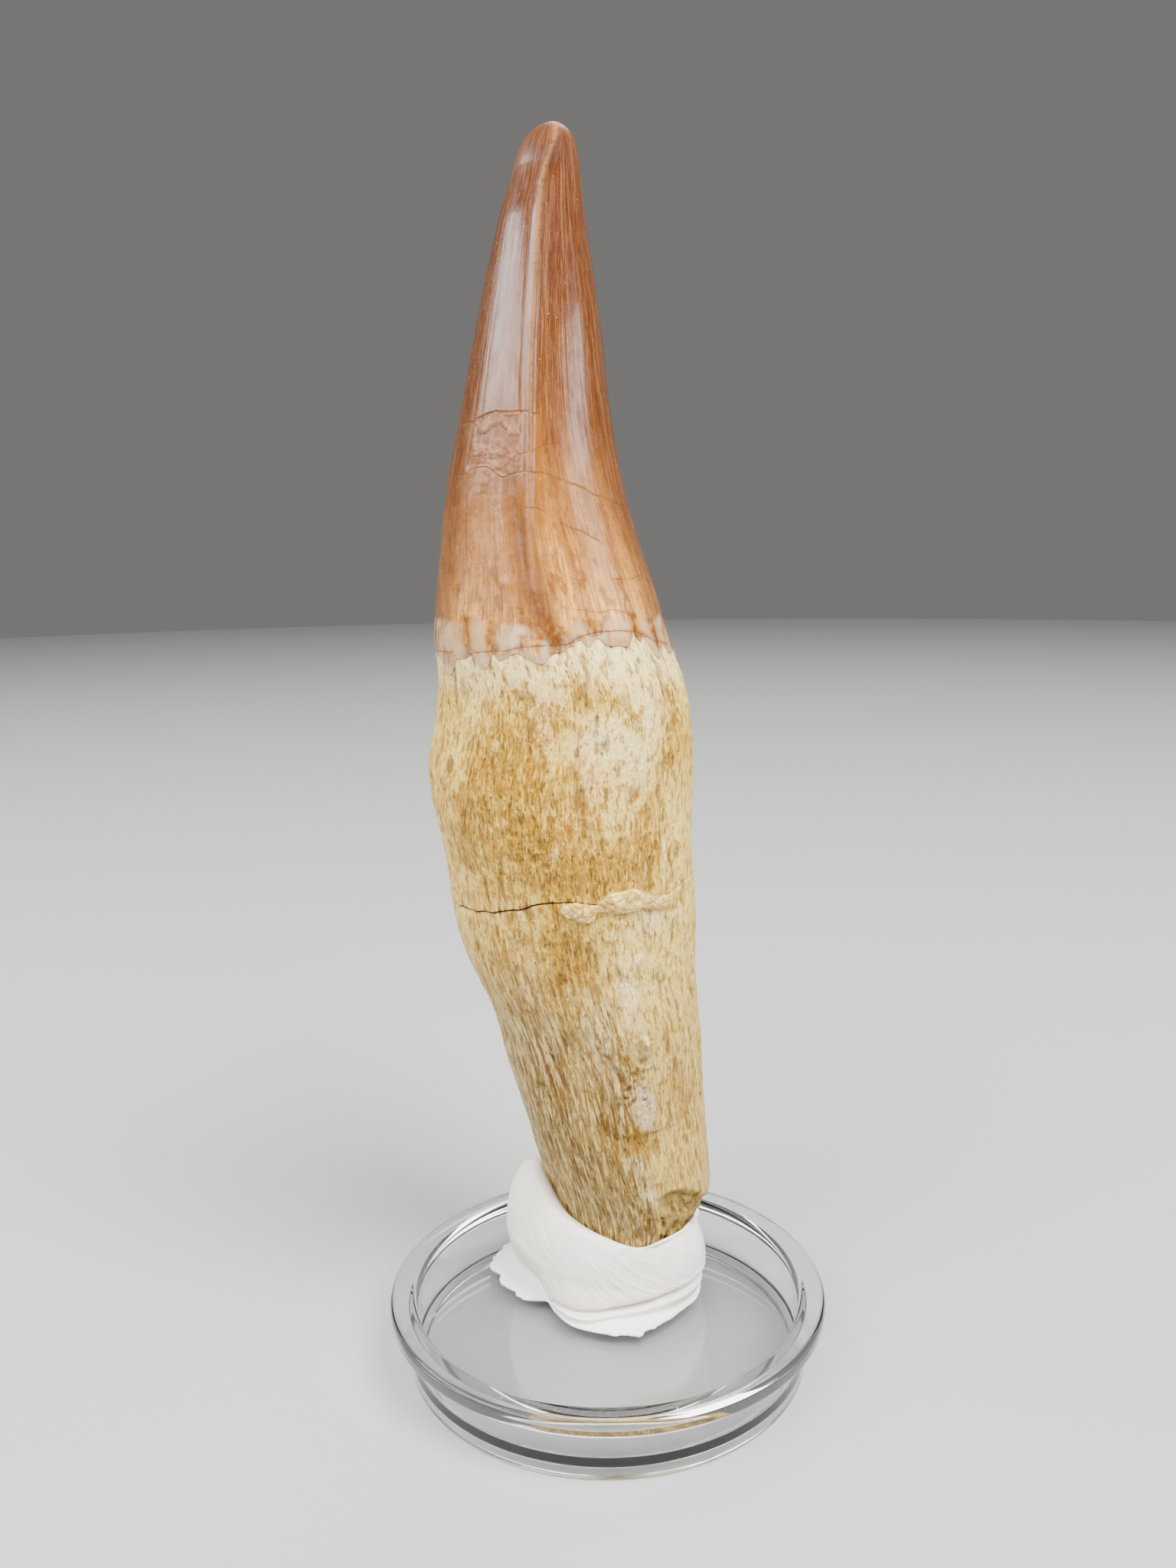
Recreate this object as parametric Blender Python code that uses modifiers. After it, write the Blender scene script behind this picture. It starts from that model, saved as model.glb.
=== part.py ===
"""A fossil mosasaur tooth, held upright by a lump of putty in a clear round display dish.

The origin is on the dish's axis, at the surface that the dish stands on. +Z is up, and the
side that is shown to the viewer faces -Y. Lengths are in metres. Angles round the tooth and
the putty are in degrees, from the front (-Y) towards the right (+X).
"""

import math

import bmesh
import bpy

MM = 0.001
FIT_GAP = 0.3 * MM  # gap between pieces that touch

# Display dish, turned from clear plastic
DISH_RADIUS = 20.0 * MM
DISH_HEIGHT = 6.5 * MM
FLANGE_UNDERSIDE = 5.1 * MM
WALL_OUTER_RADIUS = 18.25 * MM
WALL_INNER_RADIUS = 17.5 * MM
FLOOR_TOP = 1.7 * MM
FLOOR_UNDERSIDE = 0.7 * MM
FOOT_WIDTH = 1.3 * MM
EDGE_RADIUS = 0.35 * MM
RIM_EDGE_RADIUS = 0.6 * MM
DISH_STEPS = 64

# Tooth outline in millimetres, from the root's broken end up to below the tip:
# height, left edge, right edge, front edge, back edge
TOOTH_STATIONS = (
    (3.6, -1.8, 7.2, 3.0, 13.2),
    (8.0, -3.9, 9.2, 1.6, 14.4),
    (11.0, -4.85, 10.2, 0.7, 14.9),
    (17.0, -6.65, 10.05, -1.1, 15.3),
    (25.0, -8.6, 9.25, -3.4, 15.6),
    (31.5, -10.3, 8.85, -5.0, 15.9),
    (38.5, -12.7, 8.35, -6.6, 16.1),
    (46.0, -13.85, 8.05, -8.0, 16.1),
    (54.3, -14.8, 8.05, -8.9, 15.6),
    (58.5, -14.2, 7.85, -8.8, 15.0),
    (62.3, -13.85, 7.4, -8.6, 14.3),
    (66.2, -13.95, 5.8, -8.5, 13.6),
    (70.0, -13.55, 4.75, -8.0, 12.6),
    (78.0, -12.6, 2.4, -6.4, 10.8),
    (85.0, -11.1, 1.2, -4.8, 9.3),
    (92.4, -9.55, 0.45, -3.0, 8.2),
    (99.6, -7.85, -0.6, -0.7, 7.2),
    (104.0, -6.5, -1.05, 1.3, 6.8),
)
ROOT_END = TOOTH_STATIONS[0][0]
TIP_START = TOOTH_STATIONS[-1][0]
TIP_TOP = 107.7
TIP_ROUNDNESS = 2.6
TIP_TAPER = 0.6
TIP_SHIFT = 0.3  # the very tip stands this far to the right of the crown's line

CROWN_BASE = 65.6  # mean height of the enamel's ragged lower edge
ENAMEL_STEP = 0.22
ENAMEL_FADE = (67.0, 75.0)  # the step over the root dies out between these heights
CROWN_PINCH = 0.2  # how far the crown's section narrows towards its two cutting edges
PINCH_FULL = 86.0  # height where the narrowing is complete
CROWN_TWIST = -8.0
TWIST_FULL = 92.0
LOBE_DEPTH = 0.9  # how far the enamel's lobes hang down
LOBE_COUNT = 13
EDGE_TILT = 0.35

# Relief of the crown in millimetres; pairs are the heights between which it comes or goes
CARINA_HEIGHT = 0.36
CARINA_HALF_WIDTH = 0.4
CARINA_START = (67.0, 74.0)
CARINA_WEAR = (104.0, 107.0)
FURROW_DEPTH = 0.45
FURROW_ANGLE = -2.0
FURROW_DRIFT = -13.0  # how far the furrow moves to the left as it climbs
FURROW_HALF_WIDTH = 7.0
FURROW_START = (65.0, 69.0)
FURROW_END = (74.0, 84.0)
FLUTE_DEPTH = 0.08
FLUTE_COUNT = 5
FLUTE_SHIFT = 40.0
FLUTE_START = (66.0, 72.0)
FLUTE_END = (88.0, 100.0)

# Relief of the root in millimetres, which dies out under the crown
ROOT_FADE = (60.0, 66.0)
# swellings: depth, waves round the root, waves up the root in radians a millimetre, shift
SWELLINGS = (
    (0.16, 3, 0.09, 0.0),
    (0.1, 7, -0.05, 1.3),
    (0.12, 2, 0.42, 0.0),
)
FILLER_RISE = 0.5  # rope of filler in the mended break
FILLER_HEIGHT = 44.6
FILLER_WAVE = 0.9
FILLER_HALF_WIDTH = 1.0
FILLER_FROM = (-12.0, -5.0)
FILLER_TO = (44.0, 52.0)
CRUST_RISE = 0.34  # crust over the ledge on the root's front
CRUST_FROM = (-2.0, 6.0)
CRUST_TO = (26.0, 38.0)
CRUST_BOTTOM = (21.2, 22.4)
CRUST_TOP = (27.0, 36.0)
LEDGE_DEPTH = 0.4  # hollow under the ledge
LEDGE_PLACE = (14.0, 19.6)
LEDGE_SIZE = (12.0, 1.5)
BREAK_DEPTH = 0.85  # broken lower corner on the front's right
BREAK_TOP = 14.2
BREAK_FALL = 2.8
BREAK_FALL_SPAN = (35.0, 88.0)
BREAK_FROM = (14.0, 30.0)
BREAK_TO = (60.0, 86.0)
BREAK_SLOPE = 1.6
CHIP_DEPTH = 0.2

TOOTH_COLUMNS = 52
COLUMN_CROWDING = 0.33  # more columns stand close to the two cutting edges
# Heights of the tooth's rings: first, last and number of rings, region by region
TOOTH_RINGS = (
    (3.6, 14.0, 8),
    (16.0, 39.0, 11),
    (41.0, 47.6, 7),
    (49.8, 62.0, 6),
    (63.8, 63.8, 1),
)
EDGE_RINGS = (-0.18, 0.18)  # heights over the enamel's ragged edge
CROWN_RINGS = (67.8, 103.0, 13)
TIP_RINGS = 5

# Putty lump: where it is centred, then its size by angle in millimetres:
# angle, reach of the thin smeared skirt, reach of the lump, height of the lip at the root
PUTTY_CENTRE = (0.3, 7.8)
PUTTY_PROFILE = (
    (-180.0, 8.6, 8.3, 11.0),
    (-150.0, 9.0, 8.8, 11.7),
    (-125.0, 11.3, 9.6, 12.4),
    (-108.0, 12.4, 10.0, 13.4),
    (-90.0, 11.4, 10.0, 14.1),
    (-75.0, 10.0, 9.6, 13.7),
    (-60.0, 7.8, 8.9, 11.9),
    (-40.0, 8.0, 8.4, 10.7),
    (-20.0, 8.7, 8.2, 9.8),
    (0.0, 9.5, 8.2, 8.9),
    (17.0, 9.9, 8.3, 9.3),
    (35.0, 9.2, 8.6, 9.3),
    (60.0, 9.1, 9.6, 8.9),
    (90.0, 8.7, 9.8, 8.3),
    (120.0, 8.4, 9.3, 9.4),
    (150.0, 8.3, 8.5, 10.4),
    (180.0, 8.6, 8.3, 11.0),
)
PUTTY_BASE = (FLOOR_TOP + FIT_GAP) / MM
SKIRT_THICKNESS = 0.5
SKIRT_RAGGEDNESS = 0.28
LUMP_FOOT = 1.5  # heights over the dish's floor where the lump swells out and draws in again
LUMP_WAIST = 2.1
BULGE_BASE = 3.0  # the lump is widest at this height plus a share of what the lip stands over it
BULGE_SHARE = 0.4
LIP_THICKNESS = 0.75
LIP_ROLL = 0.6  # how far the lip's crest stands over the line where it meets the root
POCKET_FLOOR = ROOT_END - 0.45
LUMP_ARC_STEPS = 4


def hermite(table, position):
    """Values of a table's columns at a position, on a smooth curve through its rows."""
    last = len(table) - 1
    row = 0
    while row < last - 1 and position > table[row + 1][0]:
        row += 1
    low, high = table[row], table[row + 1]
    before, after = table[max(row - 1, 0)], table[min(row + 2, last)]
    span = high[0] - low[0]
    share = min(max((position - low[0]) / span, 0.0), 1.0)
    values = []
    for column in range(1, len(low)):
        slope_low = (high[column] - before[column]) / (high[0] - before[0]) * span
        slope_high = (after[column] - low[column]) / (after[0] - low[0]) * span
        values.append(
            low[column] * (1 + 2 * share) * (1 - share) ** 2
            + slope_low * share * (1 - share) ** 2
            + high[column] * (3 - 2 * share) * share ** 2
            + slope_high * (share - 1) * share ** 2
        )
    return values


def rise(value, low, high):
    """Smooth step from 0 at low to 1 at high."""
    share = min(max((value - low) / (high - low), 0.0), 1.0)
    return share * share * (3 - 2 * share)


def bump(value, centre, width):
    return math.exp(-(((value - centre) / width) ** 2))


def turn_between(angle, centre):
    """Signed angle from a centre direction, from -180 to 180 degrees."""
    return (angle - centre + 180.0) % 360.0 - 180.0


def enamel_edge(angle):
    """Height of the enamel's lower edge: round lobes that hang down between sharp notches."""
    turn = math.radians(angle)
    lobes = abs(math.sin(LOBE_COUNT / 2 * turn + 0.6 * math.sin(2 * turn + 0.4))) ** 0.7
    return CROWN_BASE + EDGE_TILT * math.sin(turn - 0.7) + LOBE_DEPTH * (0.5 - lobes)


def between(value, start, end):
    """1 between a start and an end, each given as the two values of its slope."""
    return rise(value, *start) * (1 - rise(value, *end))


def carina(height, angle, half_width):
    """The two cutting edges: fine ridges at the crown's front and back."""
    width = math.degrees(CARINA_HALF_WIDTH / half_width)
    ridge = bump(turn_between(angle, 0.0), 0.0, width) + bump(turn_between(angle, 180.0), 0.0, width)
    return CARINA_HEIGHT * ridge * rise(height, *CARINA_START) * (1 - 0.5 * rise(height, *CARINA_WEAR))


def crown_relief(height, angle):
    """The furrow beside the front cutting edge and shallow flutes on the crown's sides."""
    furrow_line = FURROW_ANGLE + FURROW_DRIFT * rise(height, 67.0, 82.0)
    furrow = bump(turn_between(angle, furrow_line), 0.0, FURROW_HALF_WIDTH)
    furrow *= between(height, FURROW_START, FURROW_END)
    flutes = math.cos(math.radians(FLUTE_COUNT * angle + FLUTE_SHIFT))
    flutes *= between(height, FLUTE_START, FLUTE_END)
    return FLUTE_DEPTH * flutes - FURROW_DEPTH * furrow


def root_relief(height, angle):
    """Swellings, the filled break at mid-root, the ledge and the broken lower corner."""
    turn = math.radians(angle)
    waves = 0.0
    for depth, around, upwards, shift in SWELLINGS:
        waves += depth * math.sin(around * turn + upwards * height + shift)
    filler_line = FILLER_HEIGHT + FILLER_WAVE * math.sin(3 * turn)
    filler = between(angle, FILLER_FROM, FILLER_TO) * bump(height, filler_line, FILLER_HALF_WIDTH)
    crust = between(angle, CRUST_FROM, CRUST_TO) * between(height, CRUST_BOTTOM, CRUST_TOP)
    ledge_angle, ledge_height = LEDGE_PLACE
    ledge_width, ledge_tall = LEDGE_SIZE
    hollow = bump(turn_between(angle, ledge_angle), 0.0, ledge_width)
    hollow *= bump(height, ledge_height, ledge_tall)
    break_top = BREAK_TOP - BREAK_FALL * rise(angle, *BREAK_FALL_SPAN)
    broken = between(angle, BREAK_FROM, BREAK_TO) * (1 - rise(height, break_top - BREAK_SLOPE, break_top))
    chips = CHIP_DEPTH * math.sin(11 * turn) * math.sin(2.1 * height)
    relief = waves + FILLER_RISE * filler + CRUST_RISE * crust - LEDGE_DEPTH * hollow
    relief -= broken * (BREAK_DEPTH + chips)
    return relief * (1 - rise(height, *ROOT_FADE))


def tooth_point(height, angle, grow=0.0):
    """A point on the tooth, in metres; grow moves it outwards by that many millimetres."""
    edges = hermite(TOOTH_STATIONS, min(height, TIP_START))
    if height > TIP_START:
        near = hermite(TOOTH_STATIONS, TIP_START - 0.5)
        climb = TIP_TAPER * (height - TIP_START) / 0.5
        edges = [edge + climb * (edge - lower) for edge, lower in zip(edges, near)]
    left, right, front, back = edges
    tip_share = min(max((height - TIP_START) / (TIP_TOP - TIP_START), 0.0), 1.0)
    closing = math.sqrt(1 - tip_share ** TIP_ROUNDNESS)
    half_width = (right - left) / 2 * closing
    half_depth = (back - front) / 2 * closing
    turn = math.radians(angle)
    pinch = CROWN_PINCH * rise(height, CROWN_BASE, PINCH_FULL)
    x = half_width * math.sin(turn) * (1 - pinch * math.cos(turn) ** 2)
    x += TIP_SHIFT * tip_share ** 2
    y = -half_depth * math.cos(turn)
    slimness = half_width / max(half_depth, 0.01)
    reach = math.hypot(math.sin(turn), math.cos(turn) * slimness)
    out_x = math.sin(turn) / reach
    out_y = -math.cos(turn) * slimness / reach
    relief = ENAMEL_STEP * rise(height - enamel_edge(angle), -0.2, 0.2)
    relief *= 1 - 0.9 * rise(height, *ENAMEL_FADE)
    relief += carina(height, angle, max(half_width, 1.0)) + crown_relief(height, angle)
    relief = relief * closing + root_relief(height, angle) + grow
    x += out_x * relief
    y += out_y * relief
    twist = math.radians(CROWN_TWIST) * rise(height, CROWN_BASE, TWIST_FULL)
    middle_x = (left + right) / 2 + x * math.cos(twist) - y * math.sin(twist)
    middle_y = (front + back) / 2 + x * math.sin(twist) + y * math.cos(twist)
    return (middle_x * MM, middle_y * MM, height * MM)


def column_angles():
    """Angles of the columns, crowded towards the front and the back."""
    angles = []
    for column in range(TOOTH_COLUMNS):
        turn = 2 * math.pi * column / TOOTH_COLUMNS
        turn -= COLUMN_CROWDING * math.sin(2 * turn)
        angles.append(math.degrees(turn) if turn <= math.pi else math.degrees(turn) - 360.0)
    return angles


def evenly(first, last, count):
    if count == 1:
        return [first]
    return [first + (last - first) * step / (count - 1) for step in range(count)]


def loft(name, rings, low_pole, high_pole):
    """A closed mesh through rings of points, with a fan at each end; rings run from the low end."""
    mesh = bmesh.new()
    rows = [[mesh.verts.new(point) for point in ring] for ring in rings]
    low, high = mesh.verts.new(low_pole), mesh.verts.new(high_pole)
    count = len(rows[0])
    for lower, upper in zip(rows, rows[1:]):
        for i in range(count):
            j = (i + 1) % count
            mesh.faces.new((lower[i], lower[j], upper[j], upper[i]))
    for i in range(count):
        j = (i + 1) % count
        mesh.faces.new((low, rows[0][j], rows[0][i]))
        mesh.faces.new((high, rows[-1][i], rows[-1][j]))
    data = bpy.data.meshes.new(name)
    mesh.to_mesh(data)
    mesh.free()
    data.shade_smooth()
    data.set_sharp_from_angle(angle=math.radians(50.0))
    return bpy.data.objects.new(name, data)


def build_tooth():
    """Crown and root in one piece, because they grew as one."""
    angles = column_angles()
    rings = []
    for first, last, count in TOOTH_RINGS:
        for height in evenly(first, last, count):
            rings.append([tooth_point(height, angle) for angle in angles])
    for step in EDGE_RINGS:
        rings.append([tooth_point(enamel_edge(angle) + step, angle) for angle in angles])
    for height in evenly(*CROWN_RINGS):
        rings.append([tooth_point(height, angle) for angle in angles])
    for ring in range(TIP_RINGS):
        height = TIP_START + (TIP_TOP - TIP_START) * math.sin(math.pi / 2 * ring / TIP_RINGS)
        rings.append([tooth_point(height, angle) for angle in angles])
    end_x, end_y, end_z = middle(rings[0])
    broken_end = [
        (end_x + 0.55 * (x - end_x), end_y + 0.55 * (y - end_y), z + 0.5 * MM)
        for x, y, z in rings[0]
    ]
    tip_x, tip_y, _ = middle(rings[-1])
    return loft(
        "tooth",
        [broken_end] + rings,
        (end_x, end_y, end_z + 1.1 * MM),
        (tip_x, tip_y, TIP_TOP * MM),
    )


def middle(ring):
    count = len(ring)
    return tuple(sum(point[axis] for point in ring) / count for axis in range(3))


def putty_point(reach, angle, height):
    turn = math.radians(angle)
    x = PUTTY_CENTRE[0] + reach * math.sin(turn)
    y = PUTTY_CENTRE[1] - reach * math.cos(turn)
    return (x * MM, y * MM, height * MM)


def skirt_edge(angle, reach):
    """Reach of the skirt with its torn edge."""
    turn = math.radians(angle)
    torn = math.sin(17 * turn + 1.1) + 0.6 * math.sin(29 * turn)
    return reach + SKIRT_RAGGEDNESS * torn * rise(reach, 8.2, 9.2)


def putty_column(angle):
    """One column of the putty, from under the skirt, over the lump and lip, into the pocket."""
    skirt, lump, lip = hermite(PUTTY_PROFILE, angle)
    edge = skirt_edge(angle, skirt)
    bulge_height = BULGE_BASE + BULGE_SHARE * (lip - BULGE_BASE)
    foot = min(edge - 0.35, lump * 0.92)
    column = [
        putty_point(edge, angle, PUTTY_BASE),
        putty_point(edge - 0.15, angle, PUTTY_BASE + SKIRT_THICKNESS),
        putty_point(foot, angle, PUTTY_BASE + SKIRT_THICKNESS + 0.3),
        putty_point(lump * 0.98, angle, PUTTY_BASE + LUMP_FOOT),
        putty_point(lump * 0.95, angle, PUTTY_BASE + LUMP_WAIST),
    ]
    bulge = putty_point(lump, angle, bulge_height)
    crest = tooth_point(lip, angle, FIT_GAP / MM + LIP_THICKNESS)
    crest_height = (lip + LIP_ROLL) * MM
    for step in range(LUMP_ARC_STEPS, -1, -1):
        turn = math.pi / 2 * step / LUMP_ARC_STEPS
        column.append((
            crest[0] + (bulge[0] - crest[0]) * math.sin(turn),
            crest[1] + (bulge[1] - crest[1]) * math.sin(turn),
            bulge[2] + (crest_height - bulge[2]) * math.cos(turn),
        ))
    for share in (0.0, 0.3, 0.65, 1.0):
        height = lip + (ROOT_END - lip) * share
        column.append(tooth_point(height, angle, FIT_GAP / MM))
    return column


def build_putty():
    """Soft putty pressed round the root's end, with a thin smeared skirt on the dish's floor."""
    columns = [putty_column(angle) for angle in column_angles()]
    rings = [list(ring) for ring in zip(*columns)]
    pocket_x, pocket_y, _ = middle(rings[-1])
    return loft(
        "putty",
        rings,
        (PUTTY_CENTRE[0] * MM, PUTTY_CENTRE[1] * MM, PUTTY_BASE * MM),
        (pocket_x, pocket_y, POCKET_FLOOR * MM),
    )


def corner(centre_radius, centre_height, radius, start, end, steps=3):
    """Points of a rounded corner, from a start angle to an end angle in degrees."""
    points = []
    for step in range(steps + 1):
        turn = math.radians(start + (end - start) * step / steps)
        points.append((centre_radius + radius * math.cos(turn), centre_height + radius * math.sin(turn)))
    return points


def dish_profile():
    """Half of the dish's section, over the top from the axis and back under it."""
    rim, edge = RIM_EDGE_RADIUS, EDGE_RADIUS
    foot_inner = WALL_OUTER_RADIUS - FOOT_WIDTH
    points = [(0.0, FLOOR_TOP)]
    points += corner(WALL_INNER_RADIUS - edge, FLOOR_TOP + edge, edge, -90, 0, 2)
    points += corner(WALL_INNER_RADIUS + rim, DISH_HEIGHT - rim, rim, 180, 90)
    points += corner(DISH_RADIUS - rim, DISH_HEIGHT - rim, rim, 90, 0)
    points += corner(DISH_RADIUS - edge, FLANGE_UNDERSIDE + edge, edge, 0, -90, 2)
    points += [(WALL_OUTER_RADIUS, FLANGE_UNDERSIDE)]
    points += corner(WALL_OUTER_RADIUS - edge, edge, edge, 0, -90, 2)
    points += [(foot_inner, 0.0), (foot_inner, FLOOR_UNDERSIDE), (0.0, FLOOR_UNDERSIDE)]
    return points


def build_dish():
    """Clear round dish with an outward flange at its rim and a foot ring under its floor."""
    data = bpy.data.meshes.new("display_dish")
    points = [(radius, 0.0, height) for radius, height in dish_profile()]
    data.from_pydata(points, [(i, i + 1) for i in range(len(points) - 1)], [])
    dish = bpy.data.objects.new("display_dish", data)
    turning = dish.modifiers.new("turned", "SCREW")
    turning.axis = "Z"
    turning.steps = DISH_STEPS
    turning.render_steps = DISH_STEPS
    turning.use_merge_vertices = True
    turning.merge_threshold = 0.00001
    turning.use_smooth_shade = True
    return dish


def finish(part, colour, roughness, alpha=1.0, transmission=0.0):
    """Give a part its own material."""
    material = bpy.data.materials.new(part.name + "_surface")
    material.use_nodes = True
    shader = material.node_tree.nodes["Principled BSDF"]
    shader.inputs["Base Color"].default_value = (*colour, 1.0)
    shader.inputs["Roughness"].default_value = roughness
    shader.inputs["Metallic"].default_value = 0.0
    shader.inputs["Alpha"].default_value = alpha
    shader.inputs["Transmission Weight"].default_value = transmission
    part.data.materials.append(material)


def main():
    for old in list(bpy.data.objects):
        bpy.data.objects.remove(old, do_unlink=True)
    display = bpy.data.collections.new("fossil_tooth_display")
    bpy.context.scene.collection.children.link(display)
    dish, putty, tooth = build_dish(), build_putty(), build_tooth()
    for part in (dish, putty, tooth):
        display.objects.link(part)
    finish(dish, (0.9, 0.93, 0.95), 0.05, alpha=0.35, transmission=0.9)
    finish(putty, (0.78, 0.74, 0.66), 0.6)
    finish(tooth, (0.62, 0.5, 0.3), 0.45)


main()
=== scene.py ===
# Fossil mosasaur tooth on its putty in a clear display dish: the finish of every surface.
import math

import bpy
import numpy as np
from mathutils import Matrix


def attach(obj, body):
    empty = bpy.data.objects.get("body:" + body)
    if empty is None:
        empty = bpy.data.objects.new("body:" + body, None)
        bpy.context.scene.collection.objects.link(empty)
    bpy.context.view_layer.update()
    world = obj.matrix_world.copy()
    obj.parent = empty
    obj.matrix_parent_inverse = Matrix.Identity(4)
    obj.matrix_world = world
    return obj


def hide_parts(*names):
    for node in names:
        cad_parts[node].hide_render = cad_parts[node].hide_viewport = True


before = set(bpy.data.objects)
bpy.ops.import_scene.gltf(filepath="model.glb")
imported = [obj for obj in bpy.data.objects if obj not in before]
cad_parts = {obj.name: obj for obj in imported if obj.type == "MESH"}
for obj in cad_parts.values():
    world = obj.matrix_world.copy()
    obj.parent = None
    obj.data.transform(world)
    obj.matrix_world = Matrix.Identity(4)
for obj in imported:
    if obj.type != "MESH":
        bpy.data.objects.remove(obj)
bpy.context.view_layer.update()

mm = 0.001
print("frame loaded:", ", ".join(sorted(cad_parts)))


# Number helpers. Angles go round a piece in degrees, from the front (-Y) towards the right (+X).

def smoothStep(value, low, high):
    # 0 below low and 1 above high, with 3s^2 - 2s^3 of the share s between them
    share = np.clip((value - low) / (high - low), 0, 1)
    return share * share * (3 - 2 * share)


def bell(value, centre, width):
    # e to the power of minus the squared distance from the centre, counted in widths
    return np.exp(-((value - centre) / width) ** 2)


def span(value, low, high, fade):
    # 1 from low to high, fading to 0 over the fade on both sides
    return smoothStep(value, low - fade, low) * (1 - smoothStep(value, high, high + fade))


def turnFrom(angle, centre):
    # signed angle from a centre direction, from -180 to 180
    return (angle - centre + 180) % 360 - 180


def facing(angle, centre, width):
    # bell over the angle from a centre direction
    return bell(turnFrom(angle, centre), 0, width)


def mixed(first, second, share):
    return first + (second - first) * share


def curveThrough(table, position):
    # cubic Hermite curve through the rows of a table; a row's slope is that of the chord of its neighbours
    table = np.asarray(table, float)
    knots, values = table[:, 0], table[:, 1:]
    row = np.clip(np.searchsorted(knots, position, side="right") - 1, 0, len(knots) - 2)
    before = np.maximum(row - 1, 0)
    after = np.minimum(row + 2, len(knots) - 1)
    width = knots[row + 1] - knots[row]
    share = np.clip((position - knots[row]) / width, 0, 1)[..., None]
    slopeLow = (values[row + 1] - values[before]) * (width / (knots[row + 1] - knots[before]))[..., None]
    slopeHigh = (values[after] - values[row]) * (width / (knots[after] - knots[row]))[..., None]
    return (
        values[row] * (1 + 2 * share) * (1 - share) ** 2
        + slopeLow * share * (1 - share) ** 2
        + values[row + 1] * (3 - 2 * share) * share ** 2
        + slopeHigh * (share - 1) * share ** 2
    )


def lineAt(table, position):
    # the one value of a curve through a table: a height by the angle, or an angle by the height
    return curveThrough(table, position)[..., 0]


def latticeValue(cell, seed):
    # a whole lattice point mixed into a fixed number from 0 to 1
    x, y, z = (cell[..., axis].astype(np.int64).astype(np.uint64) for axis in range(3))
    value = x * np.uint64(73856093) ^ y * np.uint64(19349663) ^ z * np.uint64(83492791)
    value = (value ^ np.uint64(seed * 40503 + 977)) & np.uint64(0xFFFFFFFF)
    value = (value ^ (value >> np.uint64(15))) * np.uint64(2246822519) & np.uint64(0xFFFFFFFF)
    value = (value ^ (value >> np.uint64(13))) * np.uint64(3266489917) & np.uint64(0xFFFFFFFF)
    value = value ^ (value >> np.uint64(16))
    return (value & np.uint64(0xFFFFFF)).astype(float) / 0xFFFFFF


def noiseAt(points, seed, layers=1):
    # noise from -1 to 1: lattice values blended by a quintic step, each layer twice as fine, half as strong
    total, strength, reach = 0.0, 1.0, 0.0
    for layer in range(layers):
        scaled = points * 2.0 ** layer
        cell = np.floor(scaled)
        share = scaled - cell
        share = share ** 3 * (share * (share * 6 - 15) + 10)
        value = 0.0
        for corner in np.ndindex(2, 2, 2):
            offset = np.array(corner)
            weight = np.prod(np.where(offset == 1, share, 1 - share), axis=-1)
            value = value + weight * latticeValue(cell + offset, seed + 31 * layer)
        total = total + strength * (2 * value - 1)
        reach += strength
        strength *= 0.5
    return total / reach


def cellsAt(points, seed):
    # one random spot in each lattice cell: distances to the nearest two, and the nearest one's own value
    cell = np.floor(points)
    nearest = np.full(points.shape[:-1], 9.0)
    second = nearest.copy()
    own = np.zeros_like(nearest)
    for offset in np.ndindex(3, 3, 3):
        around = cell + np.array(offset) - 1
        spot = np.stack([latticeValue(around, seed + axis) for axis in range(3)], -1)
        distance = np.linalg.norm(around + spot - points, axis=-1)
        closer = distance < nearest
        second = np.where(closer, nearest, np.minimum(second, distance))
        own = np.where(closer, latticeValue(around, seed + 7), own)
        nearest = np.where(closer, distance, nearest)
    return nearest, second, own


def grainAt(height, angle, radius=9.0):
    # the surface rolled straight onto an upright cylinder, in millimetres, so that grain runs along the piece
    turn = np.radians(angle)
    return np.stack([radius * np.sin(turn), -radius * np.cos(turn), height + 0 * turn], -1)


# Mesh and node helpers

def setOnPoints(mesh, name, kind, field, values):
    # an attribute from values on the rings' points, with the end rings' means on the poles
    ends = np.array([values[0].mean(0), values[-1].mean(0)])
    flat = np.concatenate([values.reshape(-1, *ends.shape[1:]), ends])
    mesh.attributes.new(name, kind, "POINT").data.foreach_set(field, flat.astype(np.float32).ravel())


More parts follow.
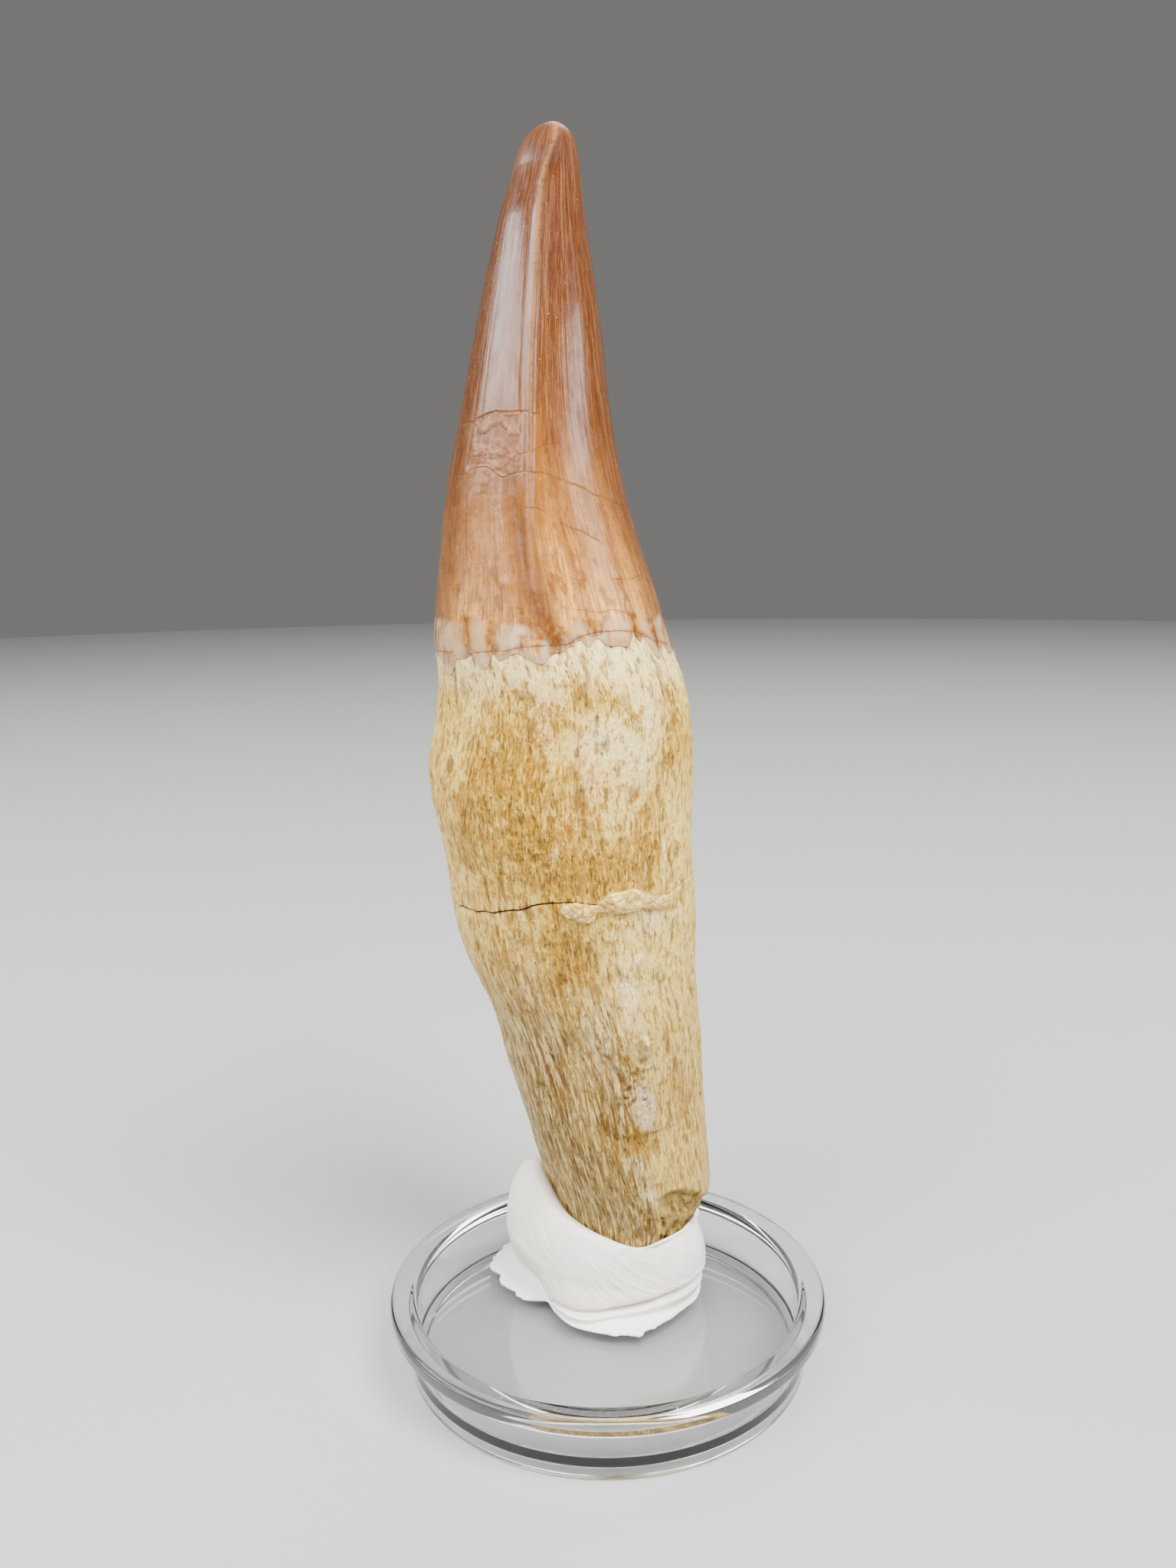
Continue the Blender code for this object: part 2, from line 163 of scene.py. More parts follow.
def ringMesh(name, rings, lowPole, highPole, masks=None, grain=None, sharp=None):
    # a closed surface through rings of points from the low end to the high end, with a fan at each pole
    rows, columns = rings.shape[:2]
    quadCount = (rows - 1) * columns
    points = np.concatenate([rings.reshape(-1, 3), [lowPole, highPole]])
    across = np.arange(columns)
    beside = (across + 1) % columns
    lower = (np.arange(rows - 1) * columns)[:, None]
    quads = np.stack([lower + across, lower + beside, lower + columns + beside, lower + columns + across], -1)
    lowFan = np.stack([np.full(columns, rows * columns), beside, across], -1)
    highFan = np.stack([np.full(columns, rows * columns + 1), quadCount + across, quadCount + beside], -1)
    corners = np.concatenate([quads.ravel(), lowFan.ravel(), highFan.ravel()])
    starts = np.concatenate([np.arange(quadCount) * 4, quadCount * 4 + np.arange(2 * columns) * 3])
    mesh = bpy.data.meshes.new(name)
    mesh.vertices.add(len(points))
    mesh.vertices.foreach_set("co", points.astype(np.float32).ravel())
    mesh.loops.add(len(corners))
    mesh.loops.foreach_set("vertex_index", corners.astype(np.int32))
    mesh.polygons.add(len(starts))
    mesh.polygons.foreach_set("loop_start", starts.astype(np.int32))
    mesh.update(calc_edges=True)
    mesh.shade_smooth()
    if sharp:
        mesh.set_sharp_from_angle(angle=math.radians(sharp))

    # the map, just inside its edges: across by column, and along by the mean distance between rings
    steps = np.linalg.norm(np.diff(rings, axis=0), axis=-1).mean(1)
    poleStep = 0.02 * steps.sum()
    along = np.concatenate([[poleStep], poleStep + np.cumsum(steps)])
    along = along / (along[-1] + poleStep)
    left, right = across / columns, (across + 1) / columns
    middle = (left + right) / 2
    quadMap = np.empty((rows - 1, columns, 4, 2))
    quadMap[..., 0] = np.stack([left, right, right, left], -1)
    quadMap[..., 1] = np.stack([along[:-1], along[:-1], along[1:], along[1:]], -1)[:, None]
    fanMaps = []
    for fan in (((middle, 0), (right, along[0]), (left, along[0])),
                ((middle, 1), (left, along[-1]), (right, along[-1]))):
        fanMaps.append(np.stack([np.stack([x, 0 * x + y], -1) for x, y in fan], 1).reshape(-1, 2))
    places = 0.004 + 0.992 * np.concatenate([quadMap.reshape(-1, 2), *fanMaps])
    mesh.uv_layers.new(name="surface").data.foreach_set("uv", places.astype(np.float32).ravel())
    for maskName, values in (masks or {}).items():
        setOnPoints(mesh, maskName, "FLOAT", "value", values)
    if grain is not None:
        setOnPoints(mesh, "grain", "FLOAT_VECTOR", "vector", grain)
    piece = bpy.data.objects.new(name, mesh)
    bpy.context.scene.collection.objects.link(piece)
    print(name, "has", 2 * quadCount + 2 * columns, "triangles")
    return piece


def settle(piece, material, slotName, *nodes):
    # the piece gets its material, rides on the one body and stands for its nodes
    piece.data.materials.append(material)
    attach(piece, "root")
    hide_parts(*nodes)


def feed(tree, node, inputs):
    # each input of a node gets a value or another node's output
    for name, value in inputs.items():
        if isinstance(value, bpy.types.NodeSocket):
            tree.links.new(value, node.inputs[name])
        else:
            node.inputs[name].default_value = value


def put(tree, kind, inputs, output=0, **settings):
    # a new node with its settings and its inputs
    node = tree.nodes.new("ShaderNode" + kind)
    for name, value in settings.items():
        setattr(node, name, value)
    feed(tree, node, inputs)
    return node.outputs[output]


def maths(tree, operation, first, second, clamp=False):
    return put(tree, "Math", {0: first, 1: second}, operation=operation, use_clamp=clamp)


def ranged(tree, value, low, high, start=0.0, end=1.0):
    # from start to end while the value goes from low to high
    sockets = {"Value": value, "From Min": low, "From Max": high, "To Min": start, "To Max": end}
    return put(tree, "MapRange", sockets)


def placeOf(tree):
    # the place on the piece in millimetres
    return put(tree, "Mapping", {"Vector": put(tree, "TexCoord", {}, "Object"), "Scale": (1000, 1000, 1000)})


def colourRamp(tree, value, stops):
    node = tree.nodes.new("ShaderNodeValToRGB")
    ramp = node.color_ramp
    while len(ramp.elements) < len(stops):
        ramp.elements.new(0.5)
    for element, (position, colour) in zip(ramp.elements, stops):
        element.position = position
        element.color = (*colour, 1)
    tree.links.new(value, node.inputs["Fac"])
    return node.outputs["Color"]


def newGroup(name, usual, outputs):
    # a group with a vector, numbers that have a usual value, and the outputs: its tree and both ends' sockets
    group = bpy.data.node_groups.new(name, "ShaderNodeTree")
    group.interface.new_socket("Vector", in_out="INPUT", socket_type="NodeSocketVector")
    for socketName, value in usual.items():
        socket = group.interface.new_socket(socketName, in_out="INPUT", socket_type="NodeSocketFloat")
        socket.default_value = value
    for socketName in outputs:
        group.interface.new_socket(socketName, in_out="OUTPUT", socket_type="NodeSocketFloat")
    return group, group.nodes.new("NodeGroupInput").outputs, group.nodes.new("NodeGroupOutput").inputs


def drawnOut(group, given):
    # the vector scaled across and along the grain
    stretch = put(group, "CombineXYZ", {"X": given["Across"], "Y": given["Across"], "Z": given["Along"]})
    return put(group, "VectorMath", {0: given["Vector"], 1: stretch}, operation="MULTIPLY")


def noiseGroup(name, usual, stretched, **settings):
    # noise, as its value and as a mask cut between a low and a high value
    group, given, made = newGroup(name, {**usual, "Low": 0.5, "High": 0.65}, ["Mask", "Value"])
    vector = drawnOut(group, given) if stretched else given["Vector"]
    scale = 1.0 if stretched else given["Scale"]
    value = put(group, "TexNoise", {"Vector": vector, "Scale": scale, "Detail": given["Detail"], **settings})
    group.links.new(ranged(group, value, given["Low"], given["High"]), made["Mask"])
    group.links.new(value, made["Value"])
    return group


def makeSpecks():
    # separate small marks: spots in some of the cells of a lattice that is drawn out along the grain
    usual = {"Across": 2.0, "Along": 2.0, "Size": 0.3, "Share": 0.3}
    group, given, made = newGroup("specks", usual, ["Mask"])
    cells = group.nodes.new("ShaderNodeTexVoronoi")
    feed(group, cells, {"Vector": drawnOut(group, given), "Scale": 1.0})
    inner = maths(group, "MULTIPLY", given["Size"], 0.55)
    spot = ranged(group, cells.outputs["Distance"], given["Size"], inner)
    chance = put(group, "SeparateColor", {"Color": cells.outputs["Color"]})
    chosen = maths(group, "LESS_THAN", chance, given["Share"])
    group.links.new(maths(group, "MULTIPLY", spot, chosen), made["Mask"])
    return group


# long narrow marks, and cloudy patches
streaks = noiseGroup("grainStreaks", {"Across": 3.0, "Along": 0.3, "Detail": 2.0}, True)
mottle = noiseGroup("mottle", {"Scale": 0.5, "Detail": 4.0}, False, Roughness=0.6)
specks = makeSpecks()


def newMaterial(name):
    material = bpy.data.materials.new(name)
    material.use_nodes = True
    return material, material.node_tree, material.node_tree.nodes["Principled BSDF"]


class Finish:
    # a material in the making: patterns on its ground, and colours of its look laid over one another

    def __init__(self, name, look, onPlace=False):
        self.look = look
        self.material, self.tree, self.shader = newMaterial(name)
        self.ground = placeOf(self.tree) if onPlace else self.mask("grain", "Vector")
        self.colour = None

    def mask(self, name, output="Fac"):
        return put(self.tree, "Attribute", {}, output, attribute_name=name)

    def streaked(self, across, along, low=0.5, high=0.65, detail=2.0, output="Mask"):
        sockets = {"Vector": self.ground, "Across": across, "Along": along, "Detail": detail}
        return put(self.tree, "Group", {**sockets, "Low": low, "High": high}, output, node_tree=streaks)

    def clouded(self, scale, detail, low=0.5, high=0.65, output="Mask"):
        sockets = {"Vector": self.ground, "Scale": scale, "Detail": detail, "Low": low, "High": high}
        return put(self.tree, "Group", sockets, output, node_tree=mottle)

    def specked(self, scale, size, share):
        sockets = {"Vector": self.ground, "Across": scale, "Along": scale, "Size": size, "Share": share}
        return put(self.tree, "Group", sockets, "Mask", node_tree=specks)

    def flecked(self, across, along, detail, low, high, lean=0.0):
        # streaky noise that a stain leans on, cut between a low and a high value
        value = self.streaked(across, along, detail=detail, output="Value")
        return self.ranged(self.add(value, lean), low, high)

    def maths(self, operation, first, second, clamp=False):
        return maths(self.tree, operation, first, second, clamp)

    def add(self, first, second, clamp=False):
        return self.maths("ADD", first, second, clamp)

    def times(self, first, second, clamp=False):
        return self.maths("MULTIPLY", first, second, clamp)

    def scaled(self, mask, strength):
        return self.times(mask, strength, clamp=True)

    def ranged(self, value, low, high, start=0.0, end=1.0):
        return ranged(self.tree, value, low, high, start, end)

    def run(self, mask, start, end):
        return self.ranged(mask, 0.0, 1.0, start, end)

    def between(self, share, first, second):
        return put(self.tree, "Mix", {0: share, 2: first, 3: second}, data_type="FLOAT")

    def blend(self, share, first, second, mode="MIX"):
        # the first colour turned towards the second by a share; a colour is a name in the look or an output
        pair = [(*self.look[colour], 1) if isinstance(colour, str) else colour for colour in (first, second)]
        sockets = {0: share, 6: pair[0], 7: pair[1]}
        return put(self.tree, "Mix", sockets, 2, data_type="RGBA", blend_type=mode)

    def layer(self, mask, colour, strength=None):
        # a colour laid over what is there, where its mask shows it
        share = mask if strength is None else self.scaled(mask, strength)
        self.colour = self.blend(share, self.colour, colour)

    def shaded(self, colour, value, low, high, dark, light):
        # the colour darkened and lightened by a value's run from low to high
        return self.blend(1.0, colour, self.ranged(value, low, high, dark, light), "MULTIPLY")

    def finished(self, rough, relief):
        look = self.look
        heights = {"Height": relief, "Distance": look["bumpDistance"], "Strength": look["bumpStrength"]}
        sockets = {"Base Color": self.colour, "Roughness": rough, "Normal": put(self.tree, "Bump", heights)}
        feed(self.tree, self.shader, {**sockets, **look.get("gloss", {})})
        return self.material


# Form of the tooth, as its solid in the frame has it. Heights and widths are in millimetres.

tooth = {
    # height, left, right, front and back edge, from the root's end up to the start of the tip
    "stations": [
        (3.6, -1.8, 7.2, 3.0, 13.2), (8.0, -3.9, 9.2, 1.6, 14.4), (11.0, -4.85, 10.2, 0.7, 14.9),
        (17.0, -6.65, 10.05, -1.1, 15.3), (25.0, -8.6, 9.25, -3.4, 15.6), (31.5, -10.3, 8.85, -5.0, 15.9),
        (38.5, -12.7, 8.35, -6.6, 16.1), (46.0, -13.85, 8.05, -8.0, 16.1), (54.3, -14.8, 8.05, -8.9, 15.6),
        (58.5, -14.2, 7.85, -8.8, 15.0), (62.3, -13.85, 7.4, -8.6, 14.3), (66.2, -13.95, 5.8, -8.5, 13.6),
        (70.0, -13.55, 4.75, -8.0, 12.6), (78.0, -12.6, 2.4, -6.4, 10.8), (85.0, -11.1, 1.2, -4.8, 9.3),
        (92.4, -9.55, 0.45, -3.0, 8.2), (99.6, -7.85, -0.6, -0.7, 7.2), (104.0, -6.5, -1.05, 1.3, 6.8),
    ],
    "rootEnd": 3.6, "tipStart": 104.0, "tipTop": 107.7, "tipRoundness": 2.6, "tipTaper": 0.6,
    "tipShift": 0.3, "crownBase": 65.6, "crownPinch": 0.2, "crownTwist": -8.0,
    # the enamel's ragged lower edge: angle and height
    "enamelEdge": [
        (-180, 64.9), (-171, 64.2), (-163, 65.1), (-157, 64.5), (-146, 65.2), (-139, 64.4), (-131, 64.9),
        (-124, 65.3), (-117, 64.3), (-108, 64.8), (-101, 65.2), (-95, 64.2), (-86, 64.9), (-79, 64.3),
        (-71, 64.9), (-66, 64.2), (-58, 63.5), (-54, 64.1), (-50, 64.8), (-44, 65.0), (-38, 65.4),
        (-35, 64.4), (-31, 64.4), (-27, 65.5), (-23, 65.0), (-18, 65.5), (-13, 65.6), (-8, 64.9),
        (-3, 64.9), (2, 65.6), (7, 65.8), (12, 66.2), (15, 66.5), (18, 66.0), (24, 66.6), (27, 66.1),
        (34, 65.9), (40, 65.9), (45, 66.9), (48, 66.1), (52, 66.4), (55, 64.7), (60, 64.7), (67, 65.6),
        (73, 64.6), (82, 65.1), (90, 64.2), (99, 64.9), (105, 65.3), (112, 64.5), (122, 65.2), (129, 64.4),
        (137, 64.8), (145, 65.4), (152, 64.6), (161, 65.2), (168, 64.6), (174, 65.2), (180, 64.9),
    ],
    # break at mid-root, glued again: angle and height
    "seam": [
        (-180, 43.6), (-140, 42.9), (-100, 42.8), (-70, 43.0), (-50, 43.3), (-41, 43.6), (-32, 43.9),
        (-26, 44.2), (-20, 44.4), (-16, 44.8), (-11, 45.0), (0, 45.1), (14, 44.9), (30, 44.7), (48, 44.5),
        (56, 45.0), (70, 45.2), (100, 44.8), (140, 44.2), (180, 43.6),
    ],
}


def toothPoint(height, angle, proud):
    # an ellipse through the section's four edges, narrowed towards front and back up the crown, moved
    # outwards by proud, turned by the twist; at the tip it closes as the root of 1 - share^roundness
    stations = np.array(tooth["stations"])
    start = tooth["tipStart"]
    edges = curveThrough(stations, np.minimum(height, start))
    taper = (stations[-1, 1:] - curveThrough(stations, np.array(start - 0.5))) / 0.5 * tooth["tipTaper"]
    edges = edges + np.maximum(height - start, 0)[..., None] * taper
    left, right, front, back = np.moveaxis(edges, -1, 0)
    tipShare = np.clip((height - start) / (tooth["tipTop"] - start), 0, 1)
    closing = np.sqrt(1 - tipShare ** tooth["tipRoundness"])
    halfWidth = (right - left) / 2 * closing
    halfDepth = (back - front) / 2 * closing
    turn = np.radians(angle)
    crownShare = smoothStep(height, tooth["crownBase"], 86.0)
    x = halfWidth * np.sin(turn) * (1 - tooth["crownPinch"] * crownShare * np.cos(turn) ** 2)
    x = x + tooth["tipShift"] * tipShare ** 2
    y = -halfDepth * np.cos(turn)
    ratio = halfWidth / np.maximum(halfDepth, 0.01)
    reach = np.hypot(np.sin(turn), np.cos(turn) * ratio)
    x = x + np.sin(turn) / reach * proud
    y = y - np.cos(turn) * ratio / reach * proud
    twist = np.radians(tooth["crownTwist"]) * smoothStep(height, tooth["crownBase"], 92.0)
    placedX = (left + right) / 2 + x * np.cos(twist) - y * np.sin(twist)
    placedY = (front + back) / 2 + x * np.sin(twist) + y * np.cos(twist)
    return np.stack([placedX, placedY, height + 0 * placedX], -1) * mm


def tipClosing(height):
    tipShare = np.clip((height - tooth["tipStart"]) / (tooth["tipTop"] - tooth["tipStart"]), 0, 1)
    return np.sqrt(1 - tipShare ** tooth["tipRoundness"])


def enamelEdge(angle):
    fine = noiseAt(grainAt(0 * angle, angle) * 1.6, 3, 4)
    return lineAt(tooth["enamelEdge"], angle) + 0.2 * fine


def seamLine(angle):
    wobble = noiseAt(grainAt(0 * angle, angle) * 1.3, 5, 3)
    return lineAt(tooth["seam"], angle) + 0.12 * wobble


def rowsBetween(low, high, count, crowd=0.65):
    # rows from one line up to the next, without the upper line; they crowd towards both lines
    share = np.arange(count) / count
    share = mixed(share, 0.5 - 0.5 * np.cos(np.pi * share), crowd)
    return low + (high - low) * share[:, None]


def breakTop(angle):
    # upper edge of the broken lower corner
    return 15.2 - 3.2 * smoothStep(angle, 30, 80)


def breakDepth(height, angle):
    # how far the broken corner lies inside the root: deeper towards its lower right
    broken = smoothStep(angle, 14, 28) * (1 - smoothStep(angle, 84, 112))
    below = breakTop(angle) - height
    deeper = 0.3 * np.clip(below - 0.9, 0, 3.5) * smoothStep(angle, 35, 65)
    return broken * smoothStep(below, 0, 0.9) * (0.8 + deeper)


def rootForm(height, angle):
    # the solid's own relief: swellings, crust above the ledge, hollow under it, broken lower corner
    turn = np.radians(angle)
    below = 1 - smoothStep(height, 60, 66)
    waves = 0.16 * np.sin(3 * turn + 0.09 * height) + 0.1 * np.sin(7 * turn - 0.05 * height + 1.3)
    waves = waves + 0.12 * np.sin(0.42 * height + 2 * turn)
    crust = smoothStep(angle, -4, 6) * (1 - smoothStep(angle, 26, 38))
    crust = crust * smoothStep(height, 21.9, 22.35) * (1 - smoothStep(height, 27, 36))
    pit = facing(angle, 14, 12) * bell(height, 20.3, 1.4)
    return below * (waves + 0.34 * crust - 0.42 * pit)


# Crown: the enamel cap, with its cutting edges, cracks, peeled patch and ragged lower rim

crown = {
    "columns": 300, "crowding": 0.18,
    "enamelStep": 0.15, "carinaHeight": 0.36, "carinaHalfWidth": 0.4,
    "tipRidge": 0.3, "tipHollow": 0.26,
    "striation": 0.017, "crackDepth": 0.06, "crackWidth": 0.035, "haloWidth": 0.26, "flakeStep": 0.1,
    # height and angle of the front cutting edge, which sways and ends in a hook on the tip's right
    "frontEdge": [
        (66, -4.0), (69.3, -2.7), (70.5, -3.5), (72.8, -2.8), (75.8, -0.3), (79.3, 3.5), (84, 6.0),
        (92, 6.5), (98, 7.8), (101.8, 8.3), (103.2, 10.5), (104.4, 16.5), (106, 26.0), (107.7, 31.0),
    ],
    # lines that the rows follow, from the base up: table of angle and height, rows below the line,
    # first and last angle where it is open, and how strongly
    "lines": {
        "baseCrack": ([
            (-180, 65.9), (-140, 65.5), (-100, 65.2), (-70, 65.3), (-50, 65.5), (-36, 65.6), (-24, 65.7),
            (-19, 65.8), (-10, 66.1), (0, 66.15), (9, 66.3), (14, 66.6), (20, 67.0), (30, 67.15),
            (43, 66.95), (51, 66.6), (60, 65.95), (72, 65.6), (100, 65.9), (140, 66.2), (180, 65.9),
        ], 9, -180, 180, 0.95),
        "lowCrack": ([
            (-180, 68.6), (-60, 68.7), (0, 69.3), (10, 69.1), (19, 68.85), (28, 68.6), (35, 68.75),
            (42, 68.5), (90, 68.6), (180, 68.6),
        ], 24, 11, 43, 0.55),
        "flankCrack": ([
            (-180, 71.4), (-100, 71.9), (-30, 72.2), (1, 72.2), (8, 72.1), (14, 71.5), (22, 71.1),
            (32, 71.0), (36, 71.2), (50, 71.1), (68, 71.2), (110, 70.7), (150, 71.0), (180, 71.4),
        ], 24, 2, 118, 0.6),
        "slantCrack": ([
            (-180, 75.4), (-60, 76.3), (0, 76.75), (7, 76.7), (13, 76.2), (21, 75.4), (29, 75.0),
            (35, 74.6), (43, 74.0), (90, 74.4), (180, 75.4),
        ], 34, 1, 45, 0.75),
        "middleCrack": ([
            (-180, 78.7), (-120, 79.2), (-69, 79.4), (-49, 79.6), (-41, 80.0), (-28, 79.9), (-16, 79.2),
            (-9, 79.3), (-3, 79.5), (6, 79.5), (12, 79.4), (19, 79.2), (25, 78.9), (31, 78.7), (40, 78.3),
            (45, 77.9), (54, 77.5), (60, 77.2), (70, 76.9), (110, 77.0), (150, 78.0), (180, 78.7),
        ], 32, -180, 180, 0.85),
        "edgeCrack": ([
            (-180, 81.6), (-60, 81.4), (-20, 80.9), (0, 80.9), (5, 81.0), (10, 81.2), (18, 81.5),
            (26, 81.7), (60, 81.6), (180, 81.6),
        ], 20, -2, 27, 0.5),
        "upperCrack": ([
            (-180, 84.4), (-130, 84.2), (-93, 83.9), (-51, 83.6), (-41, 84.0), (-28, 84.2), (-17, 84.2),
            (-5, 84.1), (1, 84.1), (12, 84.0), (60, 84.2), (180, 84.4),
        ], 26, -150, 14, 0.85),
    },
    "bodyRows": 108, "tipRows": 36,
    # fine lengthwise ridges: angle, first and last height, height of the ridge, half width in degrees
    "ridges": [
        (-38, 73, 78, 0.045, 0.8), (-57, 65, 76, 0.04, 1.3), (80, 75, 84, 0.06, 1.1),
        (67, 68, 78, 0.03, 1.2), (95, 67, 90, 0.05, 1.6), (-120, 67, 88, 0.06, 2.0),
        (-150, 66, 82, 0.05, 1.6), (130, 66, 85, 0.06, 1.8), (155, 67, 79, 0.04, 1.4),
    ],
    # orange stain that has run down over the cream band: angle, upper and lower height, half width in degrees
    "drips": [
        (-41, 68.3, 65.2, 1.7), (-25.5, 67.9, 65.7, 1.5), (-11, 66.9, 66.0, 1.1), (-3, 68.4, 66.8, 3.0),
        (5, 67.5, 66.3, 2.6), (22, 68.0, 67.0, 1.5), (27, 67.8, 67.2, 1.2), (46, 68.3, 66.6, 1.6),
        (60, 67.8, 65.4, 2.0), (84, 67.9, 65.0, 2.4), (112, 68.2, 65.4, 3.0), (131, 67.6, 65.2, 1.6),
        (158, 68.1, 65.5, 2.6), (-170, 68.4, 65.4, 3.4), (-146, 67.7, 65.6, 2.0), (-118, 68.2, 65.0, 2.8),
        (-92, 67.9, 65.0, 2.2), (-74, 68.0, 65.1, 1.8),
    ],
}


def crownRows(angle):
    # the rim's edge first, then belts of rows between one line and the next, and the tip
    grain = grainAt(0 * angle, angle)
    below = enamelEdge(angle)
    belts, lines = [], {}
    for index, (name, (table, rows, *_)) in enumerate(crown["lines"].items()):
        line = lineAt(table, angle) + 0.11 * noiseAt(grain * 1.5, 40 + index, 4)
        line = np.maximum(line, below + 0.16)
        belts.append(rowsBetween(below, line, rows))
        lines[name] = line
        below = line
    belts.append(rowsBetween(below, 0 * below + tooth["tipStart"], crown["bodyRows"]))
    rise = np.sin(np.pi / 2 * np.arange(crown["tipRows"]) / crown["tipRows"])
    tip = tooth["tipStart"] + (tooth["tipTop"] - tooth["tipStart"]) * rise
    belts.append(tip[:, None] + 0 * angle)
    return np.concatenate(belts), lines


def crackPath(height, angle, name, line):
    # groove that follows a line: a bell across it, open between two angles, with closed stretches
    first, last, strength = crown["lines"][name][2:]
    grain = grainAt(line, angle)
    patchy = smoothStep(noiseAt(grain * 0.35, 60 + len(name), 2), -0.55, -0.1)
    openShare = 1.0 if last - first >= 360 else span(angle, first, last, 3.0)
    openShare = strength * openShare * patchy
    return [openShare * bell(height, line, crown[width]) for width in ("crackWidth", "haloWidth")]


def makeCrown():
    columns = crown["columns"]
    turn = 2 * np.pi * np.arange(columns) / columns
    turn = turn - crown["crowding"] * np.sin(2 * turn)
    angle = turnFrom(np.degrees(turn), 0)
    height, lines = crownRows(angle)
    edge = enamelEdge(angle)
    angles = angle + 0 * height
    grain = grainAt(height, angles)
    closing = tipClosing(height)
    place = toothPoint(height, angles, 0 * height) / mm
    halfWidth = np.maximum(np.ptp(place[..., 0], axis=1)[:, None] / 2, 0.8)

    # enamel's thickness over the root, and the two cutting edges with their bead-like serrations
    overEdge = height - edge
    step = crown["enamelStep"] * (1 - 0.9 * smoothStep(height, 67, 75))
    step = step * mixed(0.3, 1, smoothStep(overEdge, 0, 0.6))
    sway = lineAt(crown["frontEdge"], height)
    ridgeWidth = np.degrees(crown["carinaHalfWidth"] / halfWidth)
    frontEdge = facing(angles, sway, ridgeWidth)
    backEdge = facing(angles, 180, ridgeWidth)
    ridgeRise = smoothStep(height, 67, 74) * (1 - 0.5 * smoothStep(height, 104, 107))
    carina = crown["carinaHeight"] * (frontEdge + backEdge) * ridgeRise
    carinaGlow = facing(angles, sway, 0.8 * ridgeWidth) + backEdge
    carinaGlow = carinaGlow * (1 - 0.6 * smoothStep(noiseAt(place * 3.2, 13, 2), -0.1, 0.3))

    # furrow beside the front edge, shallow flutes and the fine lengthwise relief
    furrowLine = -6 - 5 * smoothStep(height, 67, 82)
    furrow = facing(angles, furrowLine, 7) * smoothStep(height, 65, 69)
    furrow = furrow * (1 - smoothStep(height, 74, 84))
    flutes = 0.08 * np.cos(np.radians(5 * angles + 40)) * smoothStep(height, 66, 72)
    flutes = flutes * (1 - smoothStep(height, 88, 100))
    striation = noiseAt(grain * (1.5, 1.5, 0.05), 11, 3) + 0.6 * noiseAt(grain * (3.4, 3.4, 0.12), 12, 2)
    ridges = 0 * height
    for ridgeAngle, first, last, tall, wide in crown["ridges"]:
        drift = 1.2 * noiseAt(grain * (0, 0, 0.25), int(200 + ridgeAngle), 2)
        lane = facing(angles, ridgeAngle + drift, wide)
        ridges = ridges + tall * span(height, first, last, 2.0) * lane

    # cracks, and the patch between two of them where thin scales have come off
    cracks, halo = 0 * height, 0 * height
    for name, line in lines.items():
        crack, glow = crackPath(height, angles, name, line)
        cracks, halo = np.maximum(cracks, crack), np.maximum(halo, glow)
    fray = 6 * noiseAt(grain * 0.9, 21, 2)
    patch = smoothStep(angles + fray, -48, -44) * (1 - smoothStep(angles, -4, -1))
    patch = patch * (height > lines["middleCrack"]) * (height < lines["upperCrack"])
    lowPatch = span(angles + fray, -44, -24, 2) * span(height + 0.1 * fray, 77.9, 79.9, 0.15)
    lowPatch = lowPatch * (height < lines["middleCrack"])
    nearest, second, own = cellsAt(place * (0.8, 0.8, 1.2), 23)
    fineOwn = cellsAt(place * 3.1, 27)[2]
    scales = crown["flakeStep"] * (own - 0.75) - 0.02 * bell(second - nearest, 0, 0.12)
    grit = 0.035 * (fineOwn - 0.5) + 0.025 * noiseAt(place * 5, 29, 2)
    peel = patch * (scales + grit) + lowPatch * (0.35 * scales + 0.8 * grit + 0.03)
    # a crumpled stretch below the peeled patch, left of the furrow
    crumpled = span(angles + fray, -50, -12, 5) * span(height, 70.0, 77.5, 1.5)
    crumples = 0.03 * noiseAt(place * (1.5, 1.5, 1.1), 31, 3) + 0.012 * noiseAt(place * 4, 32, 2)
    peel = peel + crumpled * crumples

    # the tip: the edge ends in a sharp crest that turns aside, with a worn hollow on its right
    crest = crown["tipRidge"] * facing(angles, sway, 6) * span(height, 102.6, 106.9, 0.7)
    hollow = facing(angles, sway + 19, 9) * bell(height, 103.6, 1.4)
    wear = crest - crown["tipHollow"] * hollow

    proud = step + carina + ridges - 0.45 * furrow + flutes + crown["striation"] * striation
    proud = proud - crown["crackDepth"] * cracks + peel + wear
    proud = proud * closing
    rings = toothPoint(height, angles, proud)

    # rim: the enamel's rounded lower edge, tucked in under the surface of the root
    rimRise = np.array([0.55, 0.3, 0.12, 0.05, 0.02, 0.01, 0.02])
    rimProud = np.array([-1.4, -0.7, -0.3, -0.14, -0.06, -0.01, 0.02])
    rimHeight = edge + rimRise[:, None] - 0.05
    rim = toothPoint(rimHeight, angle + 0 * rimHeight, rimProud[:, None] + 0 * rimHeight)
    rings = np.concatenate([rim, rings])

    def withRim(values):
        return np.concatenate([np.repeat(values[:1], len(rimRise), axis=0), values])

